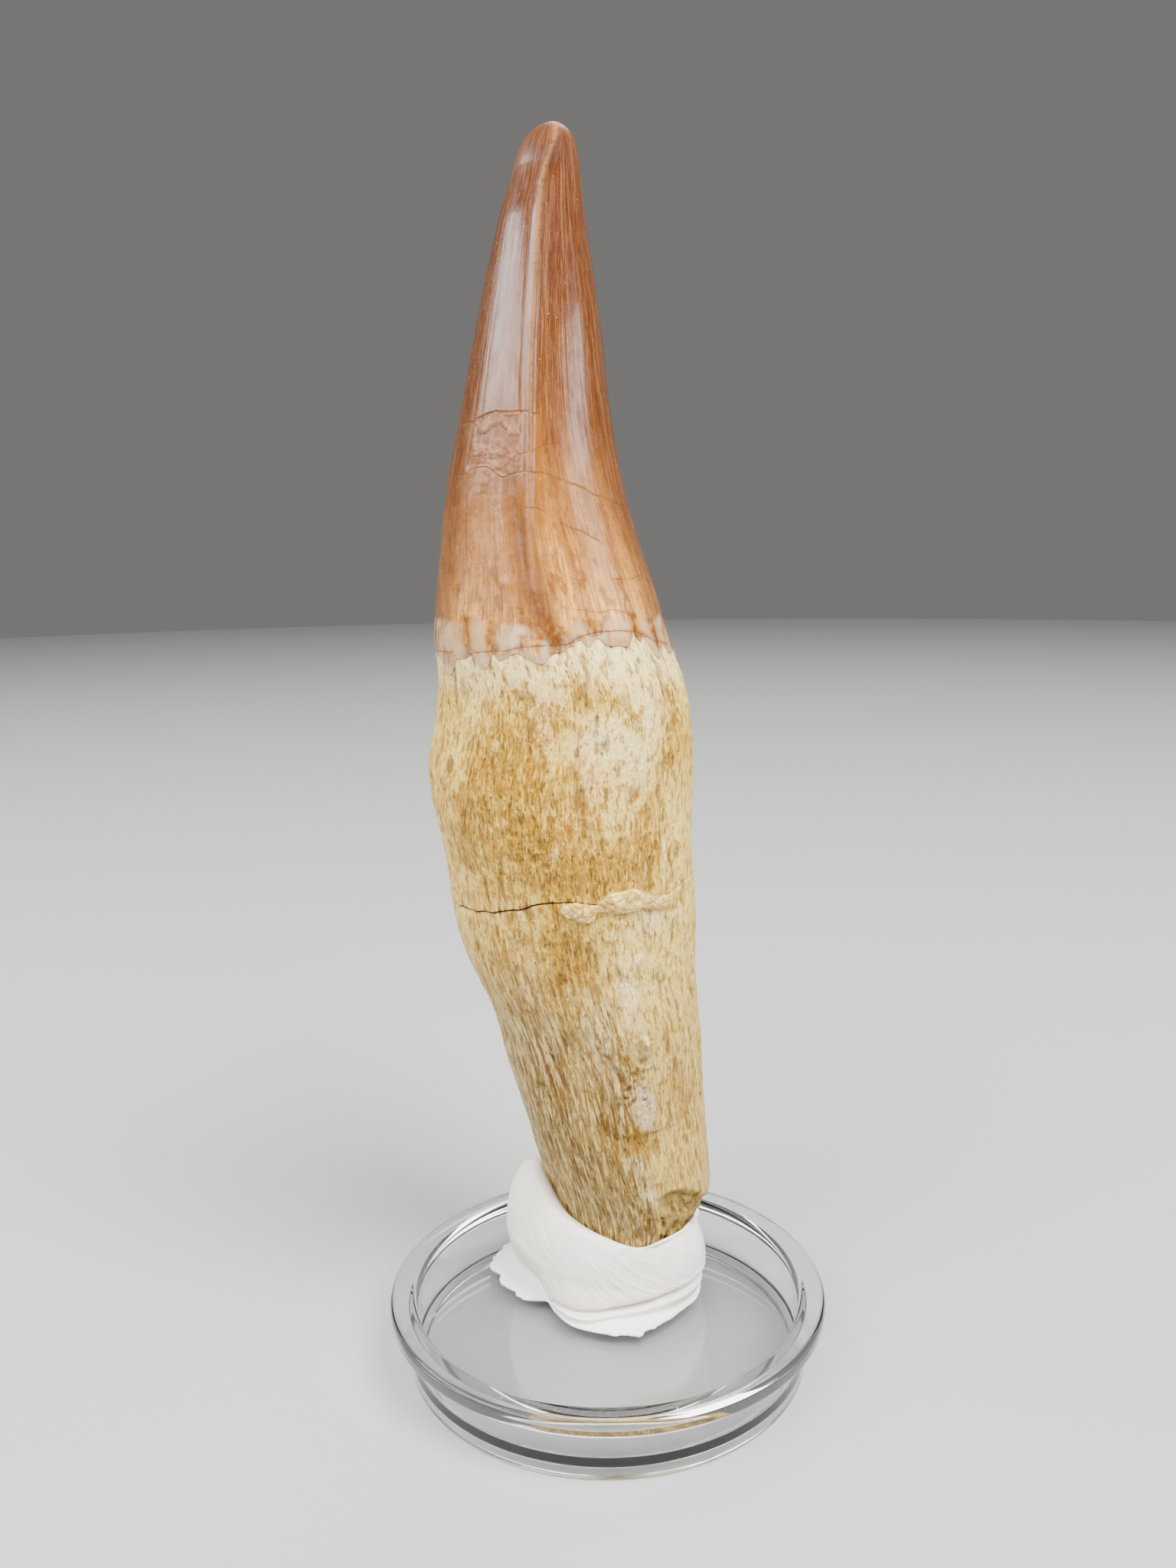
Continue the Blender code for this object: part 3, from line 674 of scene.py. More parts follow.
    dripMask = 0 * height
    for dripAngle, top, bottom, wide in crown["drips"]:
        drift = 1.6 * noiseAt(grain * (1.2, 1.2, 0.9), int(300 + dripAngle), 2)
        drip = facing(angles, dripAngle + drift, 1.8 * wide) * span(height, bottom, top, 0.35)
        dripMask = np.maximum(dripMask, drip)
    bandTop = 67.75 + 0.35 * noiseAt(grain * (0.8, 0.8, 0), 33, 3) - 0.9 * facing(angles, -1, 6)
    band = 1 - smoothStep(height, bandTop - 0.25, bandTop + 0.35)
    besideEdge = angles - sway
    honey = span(besideEdge, 4, 9, 1.5) * span(height, 79.6, 83.6, 0.5)
    honey = np.maximum(honey, 0.75 * span(besideEdge, 4, 8, 2) * span(height, 76, 79.5, 1.2))
    fringe = 0.38 * bell(overEdge, 0.1, 0.5) + halo * mixed(0.8, 0.15, smoothStep(height, 67.5, 70))
    # rust-brown smear that runs down from the furrow to the base crack
    smearLine = -3.5 + 2.6 * (69.5 - height) + 2 * noiseAt(grain * 0.9, 34, 2)
    rust = facing(angles, smearLine, 5) * span(height, 66.4, 70.2, 0.9)
    rust = np.maximum(rust, 0.7 * facing(angles, 6, 7) * bell(height, 66.9, 0.5))
    # painted shade: the crown's two flanks, away from its front and back edges, are darkened
    fromFront = np.abs(turnFrom(angles, 4))
    flankShade = smoothStep(fromFront, 44, 62) * (1 - smoothStep(fromFront, 118, 138))
    masks = {
        "heightShare": (height - tooth["crownBase"]) / (tooth["tipTop"] - tooth["crownBase"]),
        "carinaMask": np.clip(1.2 * carinaGlow, 0, 1) * smoothStep(height, 66.5, 69),
        "crackMask": cracks,
        "peelMask": np.clip(patch + 0.8 * lowPatch + 0.3 * crumpled, 0, 1),
        "peelTone": np.clip(own + 0.6 * (fineOwn - 0.5), 0, 1),
        "bandMask": band,
        "fringeMask": np.clip(fringe, 0, 1),
        "dripMask": np.clip(1.3 * dripMask, 0, 1),
        "rustMask": np.clip(rust, 0, 1),
        "honeyMask": honey,
        "furrowShadeMask": furrow,
        "flankShadeMask": flankShade,
        "hollowShadeMask": np.clip(hollow, 0, 1),
    }
    masks = {name: withRim(values + 0 * height) for name, values in masks.items()}
    top = rings[-1].mean(0)
    top[2] = tooth["tipTop"] * mm
    return ringMesh("tooth_crown", rings, rings[0].mean(0), top, masks, withRim(grain))


# Beads: the fine serrations along both cutting edges of the crown

beads = {
    "pitch": 0.36, "rowStep": 0.05, "columns": 12, "from": 78.5, "to": 103.4,
    "halfWidth": 0.2, "tall": 0.06, "sunk": 0.12,
}


def makeBeads(name, edgeLine):
    # a low ridge on the edge's crest: half an ellipse across, whose height swells once in every pitch
    height = np.arange(beads["from"], beads["to"], beads["rowStep"])[:, None]
    middleAngle = lineAt(edgeLine, height)
    around = 2 * np.pi * np.arange(beads["columns"]) / beads["columns"]
    wave = 0.5 + 0.5 * np.cos(2 * np.pi * height / beads["pitch"] + 1.5 * noiseAt(
        np.concatenate([height * 0.7, 0 * height, 0 * height], -1), 71, 2)[:, None])
    size = span(height, beads["from"] + 3, beads["to"] - 1.5, 3.0)
    worn = 0.6 + 0.4 * noiseAt(np.concatenate([height * 0.35, 0 * height, 0 * height], -1), 73, 2)[:, None]
    crestHeight = crown["carinaHeight"] * smoothStep(height, 67, 74)
    swell = size * (0.35 + 0.65 * wave) * np.clip(worn, 0.2, 1)
    bulge = np.maximum(np.sin(around), -0.4)
    outward = crestHeight - beads["sunk"] + (beads["sunk"] + beads["tall"] * swell) * bulge
    section = np.array(toothPoint(np.repeat(height, 2, 1), np.array([-90.0, 90.0]) + 0 * height, 0 * height))
    halfWidth = np.linalg.norm(section[:, 1] - section[:, 0], axis=-1)[:, None] / mm / 2
    sideways = np.degrees(beads["halfWidth"] * (0.75 + 0.25 * wave) * np.cos(around) / halfWidth)
    rings = toothPoint(height + 0 * sideways, middleAngle - sideways, outward * (1 + 0 * sideways))
    grain = grainAt(height + 0 * sideways, middleAngle - sideways)
    share = (height - tooth["crownBase"]) / (tooth["tipTop"] - tooth["crownBase"])
    masks = {"heightShare": share + 0 * sideways, "carinaMask": 1 + 0 * sideways}
    return ringMesh(name, rings, rings[0].mean(0), rings[-1].mean(0), masks, grain)


# Root: bone with its lengthwise pores, in two lengths that meet at the old break

root = {
    "columns": 400, "upperRows": 225, "lowerRows": 232, "hiddenRows": 10,
    "fibre": 0.035, "poreDepth": 0.13,
    # short marks: angle, height, half width and half height in millimetres, relief
    "marks": [
        (-4, 49.3, 0.26, 0.45, 0.05), (-8, 48.3, 0.4, 0.25, -0.12), (-45, 52.0, 0.25, 0.2, -0.16),
        (-53, 39.8, 0.4, 0.5, -0.2), (48, 48.6, 0.18, 1.6, 0.12), (47, 46.5, 0.2, 0.9, 0.12),
        (31, 39.3, 0.6, 0.5, 0.1), (27, 31.6, 0.3, 0.5, 0.14), (17, 28.6, 0.35, 0.3, -0.22),
        (22, 29.8, 0.5, 0.35, -0.14), (-49, 62.2, 0.5, 0.6, -0.08), (27, 61.5, 0.9, 0.8, -0.07),
        (120, 55.0, 0.8, 0.5, 0.12), (170, 50.0, 0.6, 1.2, -0.14), (-150, 57.0, 0.9, 0.7, -0.12),
        (-120, 36.0, 0.5, 1.6, -0.15), (150, 30.0, 0.7, 1.0, 0.14), (-165, 24.0, 0.5, 1.5, -0.16),
    ],
    # grooves: angle and height at the upper end, at the lower end, half width in millimetres, depth
    "grooves": [
        (3.5, 30.9, 10, 27.4, 0.28, 0.26), (40, 33.6, 43, 30.3, 0.12, 0.12),
        (-54, 31.0, -43, 22.8, 0.16, 0.12), (-30, 27.5, -26, 20.0, 0.14, 0.1),
        (-18, 24.5, -12, 16.5, 0.16, 0.12), (-3, 20.5, 2, 13.5, 0.14, 0.1),
        (60, 30.0, 62, 20.0, 0.15, 0.12), (-70, 40.0, -64, 30.0, 0.16, 0.1),
        (-110, 38.0, -104, 22.0, 0.2, 0.14), (-150, 42.0, -146, 26.0, 0.22, 0.14),
        (110, 41.0, 112, 24.0, 0.2, 0.14), (150, 38.0, 152, 18.0, 0.2, 0.13),
        (175, 60.0, 176, 47.0, 0.25, 0.12), (-160, 61.0, -162, 50.0, 0.2, 0.1),
        (130, 60.0, 131, 52.0, 0.2, 0.1),
    ],
    # stains: middle angle and height, half width in degrees and half height in millimetres, strength
    "stains": {
        "ochre": [
            (-18, 56.3, 18, 3.0, 1.0), (-38, 54.0, 16, 4.0, 0.75), (-8, 52.0, 18, 3.0, 0.6),
            (-21, 61.0, 10, 2.6, 0.6), (-1, 59.8, 4, 0.9, 0.9), (8, 62.8, 4, 1.6, 0.8),
            (21, 61.9, 7, 1.6, 0.85), (30, 60.1, 4, 1.2, 0.75), (53, 60.0, 7, 3.8, 0.55),
            (48, 56.0, 10, 1.1, 0.5), (37, 52.6, 8, 0.9, 0.6), (42, 49.6, 9, 1.8, 0.6),
            (14, 47.6, 26, 1.8, 0.8), (-6, 47.9, 5, 0.9, 0.9), (-50, 49.0, 14, 4.0, 0.45),
            (-4, 39.6, 9, 2.3, 0.8), (-13, 35.8, 8, 2.8, 0.5), (-34, 39.0, 5, 4.0, 0.4),
            (-22, 29.0, 12, 4.0, 0.35), (3, 22.9, 12, 1.3, 0.8), (-8, 26.5, 8, 2.0, 0.4),
            (52, 24.0, 6, 4.0, 0.5), (165, 52.0, 40, 7.0, 0.35), (-120, 45.0, 28, 5.0, 0.4),
            (110, 57.0, 24, 4.0, 0.45), (-150, 61.0, 20, 2.2, 0.6), (130, 33.0, 20, 5.0, 0.4),
            (-8, 49.0, 34, 3.4, 0.8), (-20, 41.5, 26, 4.0, 0.45), (-12, 17.0, 16, 3.0, 0.35),
            (45, 11.0, 16, 1.6, 0.4), (-48, 20.0, 8, 5.0, 0.3), (8, 12.0, 8, 1.5, 0.35),
        ],
        "white": [
            (17, 58.4, 11, 2.0, 0.9), (38, 62.0, 12, 3.6, 0.95), (32, 57.0, 9, 2.4, 0.6),
            (27, 53.6, 7, 2.0, 0.4), (150, 60.0, 25, 3.0, 0.6), (-90, 58.0, 16, 3.0, 0.4),
            (15, 15.2, 4, 1.0, 0.9), (38, 42.6, 12, 1.2, 0.7), (22.5, 35.6, 5, 3.6, 0.8),
            (6, 33.5, 5, 2.0, 0.5),
        ],
        "pink": [
            (-7, 60.6, 6, 3.8, 1.0), (12, 54.8, 8, 3.2, 0.8), (-38, 62.9, 8, 2.0, 0.4),
            (24, 47.9, 10, 1.1, 0.5), (-24, 36.0, 10, 6.0, 0.35), (-4, 29.0, 9, 3.5, 0.4),
        ],
        "orange": [
            (3, 51.2, 1.3, 1.5, 1.0), (5.5, 37.0, 2.0, 1.6, 1.0), (1, 39.5, 5, 1.8, 0.4),
            (27, 34.6, 1.3, 1.3, 0.8), (9, 63.0, 3.5, 1.2, 0.6), (56, 59.0, 4, 3.0, 0.35),
            (-14, 55.6, 6, 1.0, 0.4), (4, 22.4, 8, 0.8, 0.5), (150, 47.0, 5, 2.0, 0.4),
        ],
        "pale": [
            (40, 38.0, 24, 5.0, 1.0), (-170, 33.0, 40, 6.0, 0.6), (62, 48.0, 10, 5.0, 0.6),
            (-60, 47.0, 10, 3.0, 0.3), (22, 15.0, 14, 2.5, 0.4),
        ],
    },
}


def rootRelief(height, angle):
    # the solid's form, plus fibres and pores drawn out along the bone, marks, grooves and the rough break
    grain = grainAt(height, angle)
    place = toothPoint(height, angle, 0 * height) / mm
    form, depth = rootForm(height, angle), breakDepth(height, angle)
    broken = np.clip(depth / 0.6, 0, 1)
    lower = 1 - smoothStep(height, 30, 46)
    upper = smoothStep(height, 60, 64.5)
    fibres = noiseAt(grain * (1.1, 1.1, 0.07), 81, 3) + 0.7 * noiseAt(grain * (2.4, 2.4, 0.22), 82, 2)
    fibres = fibres * root["fibre"] * (1 + 1.1 * lower) * (1 - 0.5 * upper)
    lumps = 0.05 * noiseAt(place * 0.45, 83, 3) + 0.03 * noiseAt(place * (1.3, 1.3, 0.6), 84, 2)
    slots = noiseAt(grain * (2.7, 2.7, 0.5), 85, 2) + 0.25 * noiseAt(grain * 0.3, 86, 2)
    pores = smoothStep(slots, 0.36, 0.62)
    fine = noiseAt(grain * (3.4, 3.4, 0.9), 87, 1)
    pores = np.maximum(pores, 0.7 * smoothStep(fine + 0.3 * noiseAt(grain * 0.4, 88, 2), 0.5, 0.8))
    grooves = 0 * height
    for topAngle, top, bottomAngle, bottom, wide, deep in root["grooves"]:
        share = (top - height) / (top - bottom)
        drift = 1.4 * noiseAt(grain * (0, 0, 0.5), int(500 + topAngle), 2)
        away = turnFrom(angle, mixed(topAngle, bottomAngle, share) + drift)
        width = np.degrees(wide / 10.5) * (0.7 + 0.5 * np.clip(1 - np.abs(2 * share - 1), 0, 1))
        grooves = np.maximum(grooves, deep * span(share, 0.08, 0.92, 0.1) * bell(away, 0, width))
    marks = 0 * height
    for markAngle, markHeight, wide, tall, relief in root["marks"]:
        away = turnFrom(angle, markAngle) / np.degrees(wide / 10.5)
        rough = 1 + 0.35 * noiseAt(place * 2.2, int(700 + markAngle), 2)
        marks = marks + relief * np.exp(-((away ** 2 + ((height - markHeight) / tall) ** 2) * rough) ** 2)
    # crust: a pale plate with open pits over the ledge, a rough knob above it, a ridge up to its left
    frayed = noiseAt(place * 1.1, 93, 3)
    away = np.hypot(turnFrom(angle, 20.5) / 7.5, (height - 24.9) / 2.9)
    plate = 1 - smoothStep(away + 0.45 * frayed, 0.7, 1.0)
    away = np.hypot(turnFrom(angle, 24) / 8, (height - 30.2) / 1.9)
    knob = 1 - smoothStep(away + 0.5 * frayed, 0.6, 1.0)
    ridgeLine = 12.5 - 2.1 * (height - 26.5)
    ridge = facing(angle, ridgeLine + 4 * frayed, 2.6) * span(height, 26.2, 32, 0.9)
    ridge = ridge * smoothStep(frayed, -0.5, 0.1)
    holes = smoothStep(noiseAt(place * 2.4, 94, 1), 0.1, 0.4)
    holes = holes * span(angle, 10, 21, 2) * span(height, 25.2, 27.9, 0.5)
    crusted = np.maximum(np.maximum(plate, knob), ridge)
    nearest, _, own = cellsAt(place * 3.6, 91)
    crustRough = crusted * (0.09 * (0.5 - nearest) + 0.05 * (own - 0.5)) + 0.1 * ridge
    crustRough = crustRough + knob * (0.15 + 0.25 * noiseAt(place * 1.2, 92, 3)) - 0.22 * holes
    crustRough = crustRough + crusted * 0.05 * noiseAt(place * 5.5, 96, 2)
    # fracture: coarse broken cells and splinters that run along the bone
    cellNearest, cellSecond, cellOwn = cellsAt(place * (1.5, 1.5, 0.8), 95)
    splinters = noiseAt(grain * (2.4, 2.4, 0.6), 97, 3)
    fracture = depth + broken * (0.6 * (cellOwn - 0.5) + 0.3 * splinters - 0.15 * (cellSecond - cellNearest))
    # a thin layer has come off below an arc-shaped step
    stepLine = 41.1 + 0.5 * smoothStep(np.abs(angle), 0, 8) + 0.15 * noiseAt(grain * 1.2, 99, 2)
    shed = span(angle, -8, 9, 3) * (1 - smoothStep(height, stepLine - 0.08, stepLine + 0.02))
    shed = shed * smoothStep(height, 38, 40.5)
    relief = form + fibres + lumps + marks + crustRough
    relief = relief - root["poreDepth"] * pores * (1 - crusted) - grooves - 0.09 * shed - fracture
    # painted shadow, mixed with gold-brown stain, in a band under the crust's ledge and under the broken
    # corner's top edge
    ledgeStainAndShadow = facing(angle, 11, 11) * span(height + 0.4 * frayed, 19.9, 22.2, 0.5)
    shadowUnderBreakEdge = bell(height + 0.3 * frayed, breakTop(angle) - 0.6, 0.45) * span(angle, 22, 72, 8)
    ledgeStainAndShadow = np.maximum(ledgeStainAndShadow, 0.9 * shadowUnderBreakEdge)
    masks = {
        "poreMask": np.clip(pores * (1 - 0.8 * crusted) + holes, 0, 1),
        "grooveMask": np.clip(grooves / 0.14 + np.maximum(-marks, 0) / 0.14, 0, 1),
        "crustMask": np.clip(np.maximum(plate, 0.35 * ridge) + 0.6 * knob, 0, 1),
        "crustTone": np.clip(1.3 - nearest - 0.9 * knob * (1 - ridge) - holes, 0, 1),
        "ledgeStainAndShadowMask": np.clip(ledgeStainAndShadow, 0, 1),
        "fractureMask": broken,
        "chalkMask": np.clip(np.maximum(marks, 0) / 0.12, 0, 1),
    }
    return relief, masks, grain


def stainMasks(height, angle, grain):
    # where the bone is white, ochre, pink or orange: soft patches with frayed borders
    fray = noiseAt(grain * (0.45, 0.45, 0.2), 111, 3)
    fine = noiseAt(grain * (1.6, 1.6, 0.4), 112, 2)
    stains = {}
    for kind, spots in root["stains"].items():
        stains[kind] = 0 * height
        for middleAngle, middleHeight, wide, tall, strength in spots:
            away = (turnFrom(angle, middleAngle) / wide) ** 2 + ((height - middleHeight) / tall) ** 2
            stains[kind] = stains[kind] + strength * np.exp(-away)
    ochre, pink, orange, pale = (stains[kind] for kind in ("ochre", "pink", "orange", "pale"))
    white = smoothStep(height, 60.5, 64.5) * (0.65 + 0.25 * np.cos(np.radians(angle - 30)))
    white = np.maximum(white, stains["white"])
    # the bone is cleanest in a narrow seam along the enamel's edge
    rim = bell(height, enamelEdge(angle[:1]) - 0.3, 0.9) * smoothStep(fray, -0.7, 0.1)
    white = np.maximum(white, rim)
    ochre = ochre * (1 - 0.7 * rim)
    grey = (1 - smoothStep(height, 30, 44)) * (0.92 - 0.6 * span(angle, 24, 150, 16))
    return {
        "greyMask": np.clip(grey * (1 + 0.5 * fray), 0, 1),
        "paleMask": np.clip(pale * (1 + 0.5 * fray), 0, 1),
        "ochreMask": np.clip(ochre * (1 + 0.5 * fray) + 0.15 * fray, 0, 1),
        "whiteMask": np.clip(white * (1 + 0.5 * fray) + 0.2 * fine * white, 0, 1),
        "pinkMask": np.clip(pink * (1 + 0.6 * fray), 0, 1),
        "orangeMask": np.clip(orange * (1 + 0.8 * fine), 0, 1),
    }


def rootAngles():
    return turnFrom(360 * np.arange(root["columns"]) / root["columns"], 0)


def dressRoot(name, height, angle, tuck, crackMask, lowPole, highPole):
    # one length of the root: its relief less the tuck at its ends, and its masks
    angles = angle + 0 * height
    relief, masks, grain = rootRelief(height, angles)
    masks.update(stainMasks(height, angles, grain))
    masks["crackMask"] = crackMask
    rings = toothPoint(height, angles, np.where(tuck < -0.6, tuck, relief + tuck))
    lowPoint = rings[0].mean(0) if lowPole is None else lowPole
    highPoint = rings[-1].mean(0) if highPole is None else highPole
    return ringMesh(name, rings, lowPoint, highPoint, masks, grain)


def seamOpening(angle):
    # how wide the old break stands open: most on the front's left, shut under the filler
    grain = grainAt(0 * angle, angle)
    return 0.016 + 0.014 * span(angle, -60, -9, 8) + 0.014 * noiseAt(grain * 0.7, 121, 3)


def makeUpperRoot():
    # from the break up to under the enamel
    angle = rootAngles()
    seam, edge = seamLine(angle), enamelEdge(angle)
    opening = np.maximum(seamOpening(angle), 0.01)
    tuckRows = np.array([-6.0, -1.2, -0.4, -0.12, -0.03])
    tuckRise = np.array([0.0, 0.0, 0.0, 0.015, 0.04])
    lips = seam + opening + tuckRise[:, None]
    body = rowsBetween(lips[-1] + 0.05, edge - 0.12, root["upperRows"], 0.4)
    underRise = np.array([-0.12, -0.04, 0.03, 0.12, 0.3, 0.7])
    underTuck = np.array([0.0, -0.03, -0.1, -0.22, -0.5, -2.0])
    height = np.concatenate([lips, body, edge + underRise[:, None]])
    tuck = np.concatenate([tuckRows, np.zeros(len(body)), underTuck])[:, None] + 0 * height
    overSeam = height - seam
    crackMask = bell(overSeam, 0, 0.1) * smoothStep(seamOpening(angle), 0.012, 0.04)
    # painted shade in a thin band just under the enamel's edge; it goes in with the crack's dark colour
    shadeUnder = 0.3 * bell(height - edge, 0.02, 0.07)
    return dressRoot("tooth_root_upper", height, angle, tuck, np.maximum(crackMask, shadeUnder), None, None)


def makeLowerRoot():
    # from the root's broken end, hidden in the putty, up to the break
    angle = rootAngles()
    seam = seamLine(angle)
    opening = np.maximum(seamOpening(angle), 0.01)
    endTuck = np.array([-3.0, -0.8])
    endRise = np.array([0.9, 0.25])
    end = tooth["rootEnd"] + endRise[:, None] + 0 * angle
    hidden = rowsBetween(tooth["rootEnd"] + 0 * angle, 8.0 + 0 * angle, root["hiddenRows"], 0)
    body = rowsBetween(8.0 + 0 * angle, seam - opening - 0.13, root["lowerRows"], 0.25)
    tuckRows = np.array([-0.03, -0.12, -0.4, -1.2, -6.0])
    tuckRise = np.array([-0.04, -0.015, 0.0, 0.0, 0.0])
    lips = seam - opening + tuckRise[:, None]
    height = np.concatenate([end, hidden, body, lips])
    tuck = np.concatenate([endTuck, np.zeros(len(hidden) + len(body)), tuckRows])[:, None] + 0 * height
    crackMask = bell(height - seam, 0, 0.1) * smoothStep(seamOpening(angle), 0.012, 0.04)
    endPole = toothPoint(np.array([tooth["rootEnd"] + 1.1]), np.array([0.0]), np.array([0.0]))[0]
    quarters = np.array([0.0, 90.0, 180.0, 270.0])
    middle = toothPoint(np.full(4, tooth["rootEnd"] + 1.1), quarters, np.zeros(4)).mean(0)
    endPole = np.array([middle[0], middle[1], endPole[2]])
    return dressRoot("tooth_root_lower", height, angle, tuck, crackMask, endPole, None)


# Filler: the lumpy rope of glue and bone dust pressed into the break on the front's right

filler = {
    "rows": 260, "columns": 84, "roughness": 0.12, "granule": 0.3,
    # angle along the rope, middle height, half height, how far it stands out
    "rope": [
        (-4, 44.4, 0.08, 0.02), (-2, 44.4, 0.55, 0.22), (1, 44.35, 0.82, 0.4), (6, 44.25, 0.9, 0.5),
        (10, 44.25, 0.72, 0.36), (12.3, 44.5, 0.42, 0.16), (14.5, 44.75, 0.62, 0.34),
        (19, 44.85, 0.92, 0.44), (27, 44.9, 0.98, 0.46), (34, 44.75, 0.86, 0.4), (40, 44.25, 0.6, 0.32),
        (45, 44.15, 0.62, 0.36), (48.5, 44.2, 0.45, 0.28), (51, 44.3, 0.08, 0.02),
    ],
}


def makeFiller():
    # an oval section carried along the break: packed granules outside, and its inner half in the root
    angle = np.linspace(filler["rope"][0][0], filler["rope"][-1][0], filler["rows"])[:, None]
    around = 2 * np.pi * np.arange(filler["columns"]) / filler["columns"]
    middle, tall, proud = np.moveaxis(curveThrough(filler["rope"], angle), -1, 0)
    tall, proud = np.maximum(tall, 0.04), np.maximum(proud, 0.02)
    outward = np.cos(around)
    boxed = np.sign(np.sin(around)) * np.abs(np.sin(around)) ** 0.75
    angles = angle + 0 * tall * boxed
    grain = grainAt(middle + tall * boxed, angles)
    uneven = 1 + 0.28 * noiseAt(grain * 1.1, 130, 3)
    height = middle + tall * boxed * uneven
    rise = np.where(outward > 0, proud * np.abs(outward) ** 0.6, -0.5 * np.abs(outward))
    form = rootForm(height, angles)
    place = toothPoint(height, angles, 0 * height) / mm
    nearest, second, own = cellsAt(place * 1.25 + 0.3 * noiseAt(place * 2.0, 129, 2)[..., None], 135)
    fineNearest = cellsAt(place * 3.3, 137)[0]
    granules = filler["granule"] * (0.62 - nearest) + 0.1 * (own - 0.5) + 0.07 * (0.5 - fineNearest)
    rough = granules + filler["roughness"] * noiseAt(place * 3.5, 133, 3)
    rough = rough * smoothStep(outward, -0.1, 0.35) * np.minimum(1, proud / 0.3)
    rings = toothPoint(height, angles, form + rise + rough)
    underside = smoothStep(-np.sin(around), 0.3, 0.95) * smoothStep(proud, 0.2, 0.5)
    masks = {"shadeMask": np.maximum(0.6 * underside, bell(second - nearest, 0, 0.1)) * (outward > 0)}
    return ringMesh("seam_filler", rings, rings[0].mean(0), rings[-1].mean(0), masks, grain)


# Putty: pressed round the root's end, with finger streaks, a fold in front and a thin torn skirt

putty = {
    "columns": 360, "rows": 190, "centre": (0.3, 7.8), "base": 2.0,
    # angle, reach of the skirt, of the lump's foot and of its belly, height of the lip at the root
    "profile": [
        (-180, 9.0, 8.6, 9.0, 9.6), (-150, 9.4, 8.6, 9.3, 10.8), (-125, 11.3, 9.0, 9.8, 12.2),
        (-108, 12.3, 8.8, 10.1, 13.4), (-90, 11.0, 7.6, 10.1, 14.1), (-75, 9.8, 7.0, 9.6, 13.6),
        (-64, 9.0, 7.0, 9.0, 12.3), (-55, 7.4, 7.2, 8.8, 11.4), (-39, 8.2, 8.0, 8.4, 10.6),
        (-20, 9.2, 9.0, 8.2, 9.8), (-10, 9.4, 8.8, 8.2, 9.3), (2, 9.9, 8.2, 8.2, 8.9),
        (17, 10.0, 8.2, 8.4, 9.1), (35, 9.3, 8.5, 8.8, 9.2), (50, 9.1, 8.9, 9.4, 9.2),
        (66, 9.3, 9.1, 9.7, 8.6), (90, 8.9, 8.6, 9.5, 7.3), (120, 8.9, 8.4, 9.2, 7.4),
        (150, 9.0, 8.6, 9.0, 8.3), (180, 9.0, 8.6, 9.0, 9.6),
    ],
    "skirtThickness": 0.45, "raggedness": 0.3, "lipThickness": 1.2, "lipRoll": 0.55,
    "foldDepth": 0.42, "streakHeight": 0.055, "streakSlant": 38.0,
}


def puttyPoint(reach, angle, height):
    turn = np.radians(angle)
    x = putty["centre"][0] + reach * np.sin(turn)
    y = putty["centre"][1] - reach * np.cos(turn)
    return np.stack([x, y, height + 0 * x], -1) * mm


